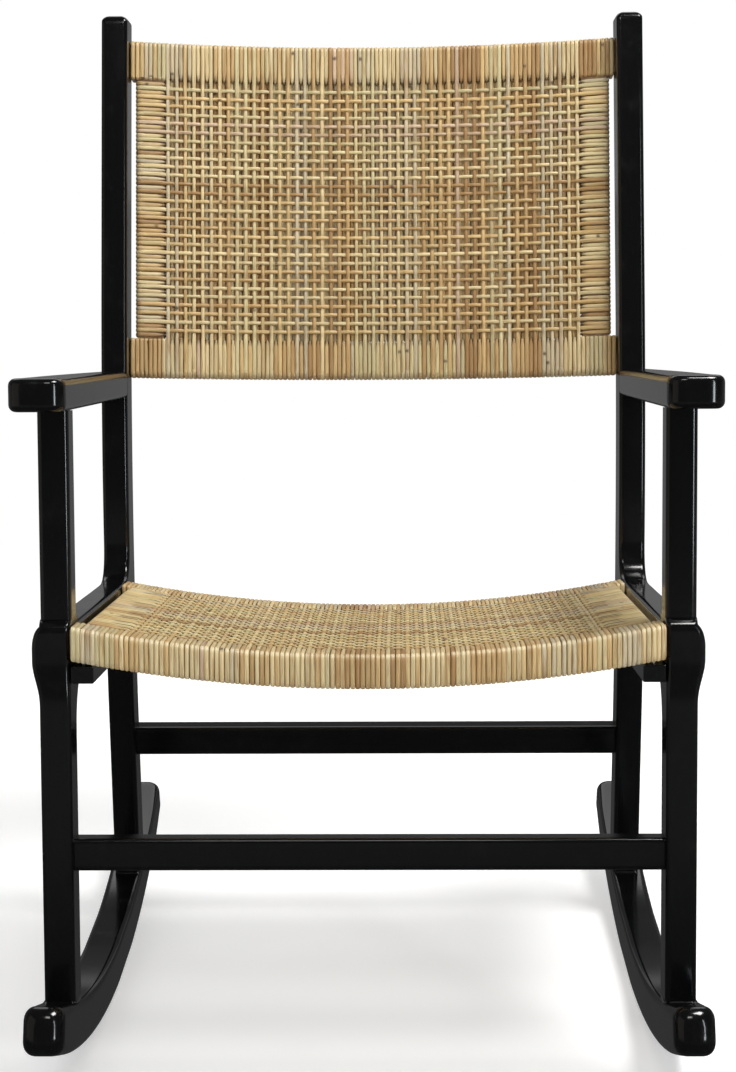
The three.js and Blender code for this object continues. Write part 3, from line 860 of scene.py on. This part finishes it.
pairs = {
    "rocker": rocker, "back_post": backPost, "front_leg": frontLeg, "arm_post": armPost,
    "arm": arm, "arm_plug": armPlug, "side_rail": sideRail, "seat_cleat": cleat,
}
sharpAngles = {"rocker": rockerSizes["sharpAngle"]}
for word, side in sides.items():
    for name, draw in pairs.items():
        lacquered(f"{name}_{word}", draw(), side, sharpAngles.get(name, 38.0))
rear = stretcherSizes["rear"]
lacquered("front_stretcher", stretcher(**stretcherSizes["front"]))
lacquered("rear_stretcher", stretcher(postFront(rear["z"]) + postSizes["depth"] / 2, **rear))
print("lacquered frame built")


# rattan strands

strandShape = {
    "thickness": 1.9,
    "points": 7,  # across the domed face
    "squareness": 0.54,  # 1 is a half circle, less is flatter on top
    "shade": 0.86,  # how dark the painted shade makes the sunken ends and the flanks beside them
    "flank": (0.6, 0.87),  # how far out on a strand the painted shade of its flank begins and is full
    # the pale colour at a bend: wear, and a painted highlight
    "wornHighlightColor": (0.86, 0.78, 0.55),
}

palette = {
    # colour, and how often it is drawn
    "straw": ((0.68, 0.54, 0.29), 34),
    "gold": ((0.62, 0.44, 0.20), 22),
    "tan": ((0.53, 0.355, 0.155), 14),
    "green": ((0.60, 0.51, 0.275), 11),
    "pink": ((0.60, 0.43, 0.28), 4),
    "grey": ((0.57, 0.48, 0.31), 7),
    "brown": ((0.38, 0.22, 0.085), 6),
}


def toneRuns(count, rng, longest):
    # neighbours are turns of one long strand, so a colour lasts for a few of them
    tones = []
    colors, weights = zip(*palette.values())
    while len(tones) < count:
        base = np.array(rng.choices(colors, weights)[0])
        for _ in range(rng.randint(1, longest)):
            light = rng.uniform(0.88, 1.08)
            warm = rng.uniform(-0.03, 0.03)
            tones.append(base * light * np.array((1.0 + warm, 1.0, 1.0 - warm)))
    return tones[:count]


def wander(count, rng, size, waves):
    # a slow closed drift, because no strand runs dead straight
    turns = np.arange(count) / count * 2 * math.pi
    drift = np.zeros(count)
    for wave in range(1, waves + 1):
        amount = rng.uniform(-1, 1)
        drift += amount * np.sin(turns * wave + rng.uniform(0, 2 * math.pi)) / wave ** 0.5
    return drift * size


class Strands:
    # collects the closed tubes of one piece
    def __init__(self):
        self.points, self.faces, self.colors, self.places = [], [], [], []
        self.count = 0

    def add(self, path, normals, widths, tone, seed, ends, flanks, wearAndHighlight):
        rows, columns = len(path), strandShape["points"]
        tangent = unit(np.roll(path, -1, axis=0) - np.roll(path, 1, axis=0))
        side = unit(np.cross(tangent, normals))
        normal = np.cross(side, tangent)
        angles = np.linspace(0.0, math.pi, columns)
        across = -np.cos(angles)
        lift = np.sin(angles) ** strandShape["squareness"] * strandShape["thickness"]
        sideways = side[:, None, :] * across[None, :, None] * widths[:, None, None] / 2
        ring = path[:, None, :] + sideways + normal[:, None, :] * lift[None, :, None]
        row, column = np.meshgrid(np.arange(rows), np.arange(columns), indexing="ij")
        nextRow, nextColumn = (row + 1) % rows, (column + 1) % columns
        corners = ((row, column), (row, nextColumn), (nextRow, nextColumn), (nextRow, column))
        quads = np.stack([self.count + r * columns + c for r, c in corners], axis=-1)
        lengths = np.linalg.norm(np.diff(path, axis=0), axis=1)
        place = np.empty((rows, columns, 3))
        place[:, :, 0] = np.concatenate(([0.0], np.cumsum(lengths)))[:, None]
        place[:, :, 1] = across[None, :]
        place[:, :, 2] = seed
        # painted shade: the sunken ends and the flanks beside them are darkened
        flank = smoothStep(*strandShape["flank"], np.abs(across))
        dark = 1 - (1 - ends[:, None]) * (1 - flanks[:, None] * flank[None, :])
        color = np.ones((rows, columns, 4))
        # paler where a strand turns over an edge: wear, and a painted highlight on the bend
        color[:, :, :3] = lerp(tone, np.array(strandShape["wornHighlightColor"]), wearAndHighlight[:, None, None])
        color[:, :, :3] *= 1 - strandShape["shade"] * dark[:, :, None]
        self.points.append(ring.reshape(-1, 3))
        self.faces.append(quads.reshape(-1, 4))
        self.colors.append(color.reshape(-1, 4))
        self.places.append(place.reshape(-1, 3))
        self.count += rows * columns

    def build(self, name, node):
        points = leaned(np.concatenate(self.points))
        faces = np.concatenate(self.faces)
        mesh = bpy.data.meshes.new(name)
        mesh.vertices.add(len(points))
        mesh.vertices.foreach_set("co", points.ravel())
        mesh.loops.add(faces.size)
        mesh.loops.foreach_set("vertex_index", faces.ravel())
        mesh.polygons.add(len(faces))
        mesh.polygons.foreach_set("loop_start", np.arange(len(faces)) * 4)
        mesh.polygons.foreach_set("use_smooth", np.ones(len(faces), dtype=bool))
        mesh.update(calc_edges=True)
        color = mesh.attributes.new("strandColor", "FLOAT_COLOR", "POINT")
        color.data.foreach_set("color", np.concatenate(self.colors).ravel())
        place = mesh.attributes.new("strandPlace", "FLOAT_VECTOR", "POINT")
        place.data.foreach_set("vector", np.concatenate(self.places).ravel())
        mesh.validate()
        ready(name, mesh, rattan, node)
        print(name, len(faces), "faces")


def loopPath(start, end, depth, radii, stops):
    # once round a flat bar between two places on its face, rounded at its low and its high
    # edge. Each row holds the place, the level below the face, the outward direction and
    # which face it is on: 1, 0 or -1
    thickness = strandShape["thickness"]
    low, high = start + thickness, end - thickness
    top, bottom = -thickness, -depth + thickness
    lowBend, highBend = (max(radius - thickness, 0.6) for radius in radii)
    rows = []

    def turn(place, level, bend, fromAngle):
        for step in range(5):
            angle = fromAngle - quarter * step / 4
            cosine, sine = math.cos(angle), math.sin(angle)
            rows.append((place + bend * cosine, level + bend * sine, cosine, sine, 0))

    def cross(place, fromLevel, toLevel, facing):
        for share in (1 / 3, 2 / 3):
            rows.append((place, lerp(fromLevel, toLevel, share), facing, 0.0, 0))

    rows += [(place, top, 0.0, 1.0, 1) for place in stops]
    turn(high - highBend, top - highBend, highBend, quarter)
    cross(high, top - highBend, bottom + highBend, 1.0)
    turn(high - highBend, bottom + highBend, highBend, 0.0)
    rows += [(place, bottom, 0.0, -1.0, -1) for place in reversed(stops)]
    turn(low + lowBend, bottom + lowBend, lowBend, -quarter)
    cross(low, bottom + lowBend, top - lowBend, -1.0)
    turn(low + lowBend, top - lowBend, lowBend, math.pi)
    return np.array(rows).T


# the two woven panels: rails are the low and the high member, bars the two at the sides

seatSizes = {
    "node": "seat_rattan",
    "front": -12.0,
    "back": 388.0,
    "halfWidth": 264.0,
    "height": 421.5,
    "bow": 26.5,
    "thickness": 32.6,
    "railBand": 42.0,
    "sideBand": 42.0,
    "rounding": 6.0,
    "wefts": 33,
    "pairedEdge": True,  # a second warp beside the first one of each side
    "leaf": 0.5,  # how far the strands on the side bars bow apart
    "sideTaper": 24.0,  # over what length the fillers of the bars narrow to their ends
    "sideTip": 0.34,  # the share of their width that is left there
    "sideSink": (14.0, 28.0, 3.2),  # the shortest and the longest sinking end, and how deep
    "railTaper": 12.0,
    "railTip": {"low": 0.6, "high": 0.92},
    "railSink": (4.0, 6.0, 1.6),
    "railEndShade": {"low": 1.0, "high": 0.0},  # how dark the painted shade on the sunken ends is
    # painted shade on the strands' flanks in the holes
    "holeShade": 0.7,
    # painted shade on the wefts' flanks along the slits of the side bars
    "slitShade": 0.95,
    "closed": 0.56,  # the share of slits on the side bars that stay closed
    "wearAndHighlight": 0.5,  # how much paler the strands are where they turn over an edge: wear, and a painted highlight on the bend
    "weftTint": (1.03, 1.09, 1.06),
    # the carriers' colour is scaled to set how dark the holes look: painted shade below 1, painted
    # light above 1
    "carrierShadeTone": 0.66,
    "carrierPlace": 0.68,  # 0 lies against the front weave, 1 against the rear weave
    "seed": 11,
}

backSizes = {
    "node": "back_rattan",
    "bottom": 644.0,
    "top": 1020.5,
    "halfWidth": 265.5,
    "inset": 24.0,  # how far it is let in behind the posts' front
    "bow": 36.0,
    "thickness": 22.0,
    "railBand": 44.0,
    "sideBand": 33.0,
    "rounding": 6.5,
    "wefts": 29,
    "pairedEdge": False,
    "leaf": 0.42,
    "sideTaper": 11.0,
    "sideTip": 0.5,
    "sideSink": (5.0, 10.0, 1.1),
    "railTaper": 11.0,
    "railTip": {"low": 0.55, "high": 0.55},
    "railSink": (4.0, 8.0, 1.0),
    # painted shade on the sunken ends, in the holes and along the slits
    "railEndShade": {"low": 1.0, "high": 0.8},
    "holeShade": 0.0,
    "slitShade": 0.4,
    "closed": 0.3,
    # paler bends: wear, and a painted highlight
    "wearAndHighlight": 0.12,
    "weftTint": (1.05, 1.06, 1.05),
    # above 1: painted light, the carriers are paler than the strands so the holes look lighter
    "carrierShadeTone": 1.25,
    "carrierPlace": 0.38,
    "seed": 23,
}

weave = {
    "warps": 49,
    "warpWidth": 4.4,
    "weftWidth": 4.15,
    "snug": 1.02,  # width of a strand in a band, as a share of the room it has there
    "middle": 3.0,  # how deep the undersides of crossing strands lie on average
    "warpSwing": 0.72,
    "weftSwing": 1.0,
    "swingStart": (-3.0, 2.0),  # past a member's edge, where the swing begins and is full
    "samples": 3,  # between two crossings
    "edgeGap": 0.4,
    "endGap": 0.92,  # from a rail to the first weft, in pitches
    "wander": 0.22,
    "postGap": 0.8,  # between the last filler and the post
    "innerRounding": 3.2,  # where a filler turns over the inner edge of its bar
    "slitWidening": 0.3,  # how much narrower a sunken strand is
    "carrierWidth": 4.6,
    "carrierDepth": 7.0,  # from the face of the upper run to that of the lower one
    "carrierRounding": 2.2,
    "carrierPast": 2.5,  # how far the carriers run on behind the rails
    "carrierInset": 2.6,
}


class Panel:
    # a flat panel that bows away from the sitter between its two sides
    def __init__(self, size, origin, lean, start, end):
        self.size, self.start, self.end = size, start, end
        self.origin = np.array(origin)
        self.right = np.array((1.0, 0.0, 0.0))
        self.forward = np.array((0.0, math.sin(lean), math.cos(lean)))
        self.away = np.array((0.0, math.cos(lean), -math.sin(lean)))

    def points(self, x, along, level):
        deep = self.size["bow"] * (1 - (x / inner) ** 2) - level
        flat = np.outer(x, self.right) + np.outer(along, self.forward)
        return self.origin + flat + np.outer(deep, self.away)

    def normals(self, x, sideways, forward, out):
        slope = -2 * self.size["bow"] * x / inner ** 2
        right = unit(self.right + np.outer(slope, self.away))
        front = unit(np.outer(slope, self.right) - self.away)
        return right * sideways[:, None] + front * out[:, None] + np.outer(forward, self.forward)


def seatPanel():
    size = seatSizes
    return Panel(size, (0.0, 0.0, size["height"]), quarter, size["front"], size["back"])


def backPanel():
    size = backSizes
    foot = postFront(size["bottom"]) + size["inset"]
    head = postFront(size["top"]) + size["inset"]
    tall = size["top"] - size["bottom"]
    lean = math.atan2(head - foot, tall)
    return Panel(size, (0.0, foot, size["bottom"]), lean, 0.0, tall / math.cos(lean))


class Weave:
    def __init__(self, panel, name):
        size = panel.size
        self.panel, self.name, self.size = panel, name, size
        self.rng = random.Random(size["seed"])
        self.low, self.high = panel.start + size["railBand"], panel.end - size["railBand"]
        self.side = size["halfWidth"] - size["sideBand"]
        self.span = self.side - weave["warpWidth"] / 2 - weave["edgeGap"]
        self.warpPitch = 2 * self.span / (weave["warps"] - 1)
        self.weftPitch = (self.high - self.low) / (size["wefts"] - 1 + 2 * weave["endGap"])
        first = self.low + self.weftPitch * weave["endGap"]
        self.weftPlaces = [first + self.weftPitch * index for index in range(size["wefts"])]
        self.warpPlaces = [-self.span + self.warpPitch * index for index in range(weave["warps"])]

    def drift(self, stops, waves, times=1):
        return wander(len(stops), self.rng, weave["wander"] * times, waves)

    def leaf(self, x, sign):
        # the strands on a side bar bow apart between its two edges
        reach = np.clip((np.abs(x) - self.side) / self.size["sideBand"], 0.0, 1.0)
        return np.sin(math.pi * reach ** 0.8) * self.size["leaf"] * sign

    def sinking(self, distance, level, sink):
        # a filler goes down between its neighbours before it turns over the inner edge; the share
        # of the way down is also returned, for the painted shade on the sunken end
        shortest, longest, depth = sink
        share = smooth(1 - distance / self.rng.uniform(shortest, longest))
        down = np.where(level > -self.size["thickness"] / 2, 1.0, -1.0)
        return share, level - share * depth * down

    def inside(self, distance):
        # 0 on the members, 1 where the strands cross
        return smoothStep(*weave["swingStart"], distance)

    def holeShading(self, place, first, pitch, inside):
        # painted shade on a strand's flanks between two crossings, where the holes are
        between = (1 - np.cos((place - first) / pitch * 2 * math.pi)) / 2
        return between * inside * self.size["holeShade"]

    def slit(self, x):
        # painted shade on a weft's flanks on the inner part of a side bar, beside a sunken filler
        reach = np.abs(x) - self.side
        length = self.rng.uniform(*self.size["sideSink"][:2])
        strength = smooth((self.rng.random() - self.size["closed"]) / 0.15) * self.size["slitShade"]
        return smooth(reach / 1.5) * smooth((length - reach) / 8) * strength

    def swing(self, phase, amount, inside, face):
        wave = np.cos(phase * math.pi) * amount
        return (wave - weave["middle"] + strandShape["thickness"]) * inside * face

    def crossings(self, places, pitch):
        # stops along a strand: a few to each crossing, and a little past the first and the last
        samples = weave["samples"]
        first = places[0] - pitch * 2 / samples
        count = (len(places) - 1) * samples + 4
        return [first + pitch * step / samples for step in range(count + 1)]

    def bandWidth(self, pitch, tip=1.0, share=1.0):
        return pitch / 2 * weave["snug"] * (tip + (1 - tip) * smooth(share))

    def lay(self, strands, x, along, level, facing, width, tone, ends=0.0, flanks=0.0):
        # facing is how far each row looks sideways, forward and out of the panel
        ends, flanks = ends + 0.0 * x, flanks + 0.0 * x
        widths = width * self.rng.uniform(0.93, 1.05) * (1 + wander(len(x), self.rng, 0.03, 8))
        radius = self.size["rounding"]
        # painted highlight and wear: paler rows where a strand turns over the panel's edge
        atEdge = np.minimum(along - self.panel.start, self.panel.end - along) < radius * 0.9
        turning = smooth(1 - np.abs(level + radius * 0.4) / (radius * 0.45))
        wearAndHighlight = atEdge * turning * self.size["wearAndHighlight"]
        path, normals = self.panel.points(x, along, level), self.panel.normals(x, *facing)
        strands.add(path, normals, widths, tone, self.rng.random(), ends, flanks, wearAndHighlight)

    def warps(self):
        size, panel = self.size, self.panel
        radii = (size["rounding"], size["rounding"])
        stops = self.crossings(self.weftPlaces, self.weftPitch)
        stops = spacing(panel.start + size["rounding"] + 3, stops[0] - 5, 4) + stops
        stops += spacing(stops[-1] + 5, panel.end - size["rounding"] - 3, 4)
        tones = toneRuns(weave["warps"], self.rng, 2)
        halves = {"left": Strands(), "right": Strands()}
        places = [(x, index, tones[index]) for index, x in enumerate(self.warpPlaces)]
        if size["pairedEdge"]:
            for sign in (-1, 1):
                places.append((sign * (self.span - self.warpPitch / 2), 1, tones[3 * sign]))
        for place, index, tone in places:
            loop = loopPath(panel.start, panel.end, size["thickness"], radii, stops)
            along, level, forward, out, face = loop
            inside = self.inside(along - self.low) * self.inside(self.high - along)
            x = place + self.drift(along, 9)
            phase = (along - self.weftPlaces[0]) / self.weftPitch + index
            level = level + self.swing(phase, weave["warpSwing"], inside, face)
            flanks = self.holeShading(along, self.weftPlaces[0], self.weftPitch, inside)
            width = lerp(self.bandWidth(self.warpPitch), weave["warpWidth"], inside)
            half = halves["left" if place < 0 else "right"]
            self.lay(half, x, along, level, (0 * x, forward, out), width, tone, 0.0, flanks)
        for word, strands in halves.items():
            strands.build(f"{self.name}_warps_{word}", size["node"])

    def wefts(self):
        size = self.size
        wide, radii = size["halfWidth"], (size["rounding"], size["rounding"])
        stops = self.crossings(self.warpPlaces, self.warpPitch)
        bar = spacing(size["rounding"] + 3 - wide, stops[0] - 3, 7)
        stops = bar + stops + [-place for place in reversed(bar)]
        tones = toneRuns(size["wefts"], self.rng, 2)
        halves = {"low": Strands(), "high": Strands()}
        for index, place in enumerate(self.weftPlaces):
            loop = loopPath(-wide, wide, size["thickness"], radii, stops)
            x, level, sideways, out, face = loop
            inside = self.inside(self.side - np.abs(x))
            along = place + self.leaf(x, 1) + self.drift(x, 9)
            phase = (x - self.warpPlaces[0]) / self.warpPitch + index + 1
            level = level + self.swing(phase, weave["weftSwing"], inside, face)
            flanks = self.holeShading(x, self.warpPlaces[0], self.warpPitch, inside) + self.slit(x)
            width = lerp(self.bandWidth(self.weftPitch), weave["weftWidth"], inside)
            half = halves["low" if index < size["wefts"] / 2 else "high"]
            tone = tones[index] * size["weftTint"]
            self.lay(half, x, along, level, (sideways, 0 * x, out), width, tone, 0.0, flanks)
        for word, strands in halves.items():
            strands.build(f"{self.name}_wefts_{word}", size["node"])

    def railFillers(self, word, start, end, innerEnd):
        # strands that go round one rail only, between the warps and out to the posts
        size = self.size
        pitch = self.warpPitch / 2
        between = [x + pitch for x in self.warpPlaces[:-1]]
        if size["pairedEdge"]:
            between = between[1:-1]
        room = inner - weave["postGap"] - self.span - pitch / 2
        steps = round(room / pitch)
        past = [self.span + room / steps * (step + 0.5) + pitch / 2 for step in range(steps)]
        places = sorted([-x for x in past] + between + past)
        tones = toneRuns(len(places), self.rng, 4)
        strands = Strands()
        radii = [weave["innerRounding"], size["rounding"]]
        if start != innerEnd:
            radii.reverse()
        stops = spacing(start + radii[0], end - radii[1], 7)
        for place, tone in zip(places, tones):
            along, level, forward, out, face = loopPath(start, end, size["thickness"], radii, stops)
            x = place + self.drift(along, 3)
            tapers = abs(place) < self.span
            distance = np.abs(along - innerEnd)
            reach = distance / size["railTaper"] if tapers else 0 * along + 1
            width = self.bandWidth(self.warpPitch, size["railTip"][word], reach)
            ends = 0 * along
            # painted shade on the sunken end of a filler
            if tapers and size["railEndShade"][word]:
                ends, level = self.sinking(distance, level, size["railSink"])
            ends = ends * size["railEndShade"][word]
            self.lay(strands, x, along, level, (0 * x, forward, out), width, tone, ends)
        strands.build(f"{self.name}_rail_{word}", size["node"])

    def sideFillers(self, word, side):
        # strands that go round one side bar only, between the wefts
        size = self.size
        low, high = sorted((side * self.side, side * size["halfWidth"]))
        half = self.weftPitch / 2
        places = [self.weftPlaces[0] - half] + [place + half for place in self.weftPlaces]
        tones = toneRuns(len(places), self.rng, 3)
        strands = Strands()
        radii = [weave["innerRounding"], size["rounding"]][::side]
        stops = spacing(low + radii[0], high - radii[1], 7)
        for place, tone in zip(places, tones):
            x, level, sideways, out, face = loopPath(low, high, size["thickness"], radii, stops)
            along = place + self.leaf(x, -1) + self.drift(x, 3)
            distance = np.abs(x) - self.side
            reach = distance / (size["sideTaper"] * self.rng.uniform(0.6, 1.2))
            width = self.bandWidth(self.weftPitch, size["sideTip"], reach)
            # painted shade on a sunken end, faint where the slit stays closed
            ends, level = self.sinking(distance, level, size["sideSink"])
            ends = ends * (1.0 if self.rng.random() > size["closed"] else 0.2)
            width = width * (1 - ends * weave["slitWidening"])
            self.lay(strands, x, along, level, (sideways, 0 * x, out), width, tone, ends)
        strands.build(f"{self.name}_side_{word}", size["node"])

    def carriers(self):
        # plain lengthwise strands between the front and the rear weave, seen through the holes
        size = self.size
        start, end = self.low - weave["carrierPast"], self.high + weave["carrierPast"]
        depth, radii = weave["carrierDepth"], (weave["carrierRounding"], weave["carrierRounding"])
        reach = self.side - weave["carrierInset"]
        last = 2 * weave["warps"]
        stops = spacing(start + 4, end - 4, 16)
        strands = Strands()
        for index, tone in enumerate(toneRuns(last + 1, self.rng, 3)):
            along, level, forward, out, face = loopPath(start, end, depth, radii, stops)
            level = level - (size["thickness"] - depth) * size["carrierPlace"]
            # the lower run lies beside the upper one
            beside = (face < 0) * self.warpPitch / 4 * (index < last)
            x = lerp(-reach, reach, index / last) + beside + self.drift(along, 5, 2)
            # the carriers' colour is scaled: painted shade on the seat, painted light on the back
            tone = tone * size["carrierShadeTone"]
            self.lay(strands, x, along, level, (0 * x, forward, out), weave["carrierWidth"], tone)
        strands.build(f"{self.name}_carriers", size["node"])

    def build(self):
        self.warps()
        self.wefts()
        self.carriers()
        self.railFillers("low", self.panel.start, self.low, self.low)
        self.railFillers("high", self.high, self.panel.end, self.high)
        for word, side in sides.items():
            self.sideFillers(word, side)


Weave(seatPanel(), "seat").build()
Weave(backPanel(), "back").build()
print("rattan woven")


# finishes of the solids that stay as they are

woodDirections = {
    "seat_front_rail": "X", "seat_back_rail": "X", "back_top_rail": "X", "back_bottom_rail": "X",
    "seat_bar": "Y", "back_stile": "Z", "dowel": "Z",
}
finishes = {word: wood[direction] for word, direction in woodDirections.items()}
finishes["screw"] = screwSteel
for name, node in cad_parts.items():
    for word, finish in finishes.items():
        if word in name:
            for slot in node.material_slots:
                slot.material = finish
print("hidden parts painted")


# floor, light and camera

stage = {
    "floorSize": 60.0,  # metres
    "floorColor": 0.80,
    "floorLift": 0.42,
    "shadowReach": (1.5, 2.6),  # metres from the chair over which the shadow fades
    "backdrop": 1.0,
    "reflected": (0.065, 0.10),  # the room in the lacquer, before and behind the chair
    "horizonReflected": 0.26,  # the same low down behind the chair
    "horizon": (0.13, 0.02),  # how high up it begins and is full
    "turn": (-0.3, 0.7),  # from before to behind the chair, where the room changes
    "floorReflected": (0.06, 0.17),  # the floor's glow in the lacquer, near the chair and far off; darker near the chair as a painted shadow
    "reflectedReach": (0.9, 2.6),  # metres over which it changes
    "ambient": 0.40,
}


def grey(value):
    return (value, value, value, 1.0)


def buildFloor():
    bm = bmesh.new()
    bmesh.ops.create_grid(bm, x_segments=24, y_segments=24, size=stage["floorSize"] / 2)
    mesh = bpy.data.meshes.new("floor")
    bm.to_mesh(mesh)
    bm.free()
    floor = placed("floor", mesh)
    paint = newPaint("paleFloor")
    place = paint.node("TexCoord", {}, {}, "Object")
    away = paint.node("VectorMath", {"operation": "LENGTH"}, {0: place}, "Value")
    seen, glossy = paint.node("LightPath", {}, {}, ("Is Camera Ray", "Is Glossy Ray"))
    matte = paint.node("BsdfDiffuse", {}, {"Color": grey(stage["floorColor"])})
    lit = paint.node("AddShader", {}, {0: matte, 1: paint.glow(grey(stage["floorLift"]))})
    white = paint.glow(grey(stage["backdrop"]))
    direct = paint.mixShaders(paint.ramp(away, *stage["shadowReach"]), lit, white)
    # the floor seen in the lacquer glows, with a painted shadow near the chair
    near, far = stage["floorReflected"]
    mirrored = paint.blend(paint.ramp(away, *stage["reflectedReach"]), grey(near), grey(far))
    other = paint.mixShaders(glossy, matte, paint.glow(mirrored))
    paint.node("OutputMaterial", {}, {"Surface": paint.mixShaders(seen, other, direct)})
    mesh.materials.append(paint.owner)


def buildWorld():
    world = bpy.data.worlds.new("studio")
    bpy.context.scene.world = world
    paint = Paint(world)
    seen, glossy = paint.node("LightPath", {}, {}, ("Is Camera Ray", "Is Glossy Ray"))
    direction = paint.node("TexCoord", {}, {}, "Generated")
    depth, rise = paint.node("SeparateXYZ", {}, {0: direction}, (1, 2))
    before, behind = (grey(value) for value in stage["reflected"])
    low = paint.ramp(rise, *stage["horizon"])
    behind = paint.blend(low, behind, grey(stage["horizonReflected"]))
    room = paint.blend(paint.ramp(depth, *stage["turn"]), before, behind)
    plain = paint.blend(glossy, grey(stage["ambient"]), room)
    color = paint.blend(seen, plain, grey(stage["backdrop"]))
    sky = paint.node("Background", {}, {"Color": color})
    paint.node("OutputWorld", {}, {"Surface": sky})


lamps = {
    # place and target in metres, size across and up, power in watts
    "keyRight": {
        "place": (1.15, -0.6, 3.3), "target": (0, 0, 0.5), "size": (1.1, 0.9), "power": 78,
        "color": (1.0, 0.99, 0.97),
    },
    "windowLow": {
        "place": (1.9, -2.6, 0.72), "target": (0, 0, 0.6), "size": (0.42, 0.5), "power": 9,
        "color": (0.88, 0.95, 1.0),
    },
    "windowTall": {
        "place": (1.9, -2.6, 1.65), "target": (0, 0, 1.0), "size": (0.2, 1.3), "power": 10,
        "color": (0.90, 0.96, 1.0),
    },
    "softTop": {
        "place": (-0.1, -1.9, 2.6), "target": (0, 0.1, 0.5), "size": (0.8, 0.45), "power": 9,
        "color": (1.0, 0.98, 0.95),
    },
    "fillLeft": {
        "place": (-2.8, -1.6, 1.3), "target": (0, 0, 0.5), "size": (3.0, 2.4), "power": 5,
        "color": (1.0, 0.90, 0.78),
    },
    "ceilingRear": {
        "place": (0, 2.6, 2.6), "target": (0, 0, 0.6), "size": (4.0, 1.6), "power": 26,
        "color": (1.0, 1.0, 1.0),
    },
}


def buildLamps():
    for name, lamp in lamps.items():
        light = bpy.data.lights.new(name, "AREA")
        light.shape = "RECTANGLE"
        light.size, light.size_y = lamp["size"]
        light.energy = lamp["power"]
        light.color = lamp["color"]
        holder = placed(name, light)
        place, target = Vector(lamp["place"]), Vector(lamp["target"])
        holder.location = place
        holder.rotation_euler = (target - place).to_track_quat("-Z", "Y").to_euler()


shot = {
    # in the chair's own frame, millimetres and degrees
    "place": (32.7, -1900.04, 663.33),
    "pitch": -4.39,
    "turn": 0.96,
    "roll": -0.32,
    "focal": 2099.11,  # pixels, of a picture 736 across and 1072 high
    "imageHeight": 1072,
    "axisRow": 519.14,
    "sensor": 36.0,
}


def buildCamera():
    data = bpy.data.cameras.new("camera")
    data.sensor_width = shot["sensor"]
    data.lens = shot["sensor"] * shot["focal"] / shot["imageHeight"]
    data.shift_y = (shot["axisRow"] - shot["imageHeight"] / 2) / shot["imageHeight"]
    data.clip_end = 200.0
    camera = placed("camera", data)
    aim = Matrix.Rotation(math.radians(shot["turn"]), 4, "Z")
    aim = aim @ Matrix.Rotation(math.radians(90 + shot["pitch"]), 4, "X")
    aim = aim @ Matrix.Rotation(math.radians(shot["roll"]), 4, "Z")
    camera.matrix_world = stancePlace @ Matrix.Translation(Vector(shot["place"]) * mm) @ aim
    bpy.context.scene.camera = camera


buildFloor()
buildWorld()
buildLamps()
buildCamera()
bpy.context.scene.view_settings.view_transform = "Standard"
print("stage set")
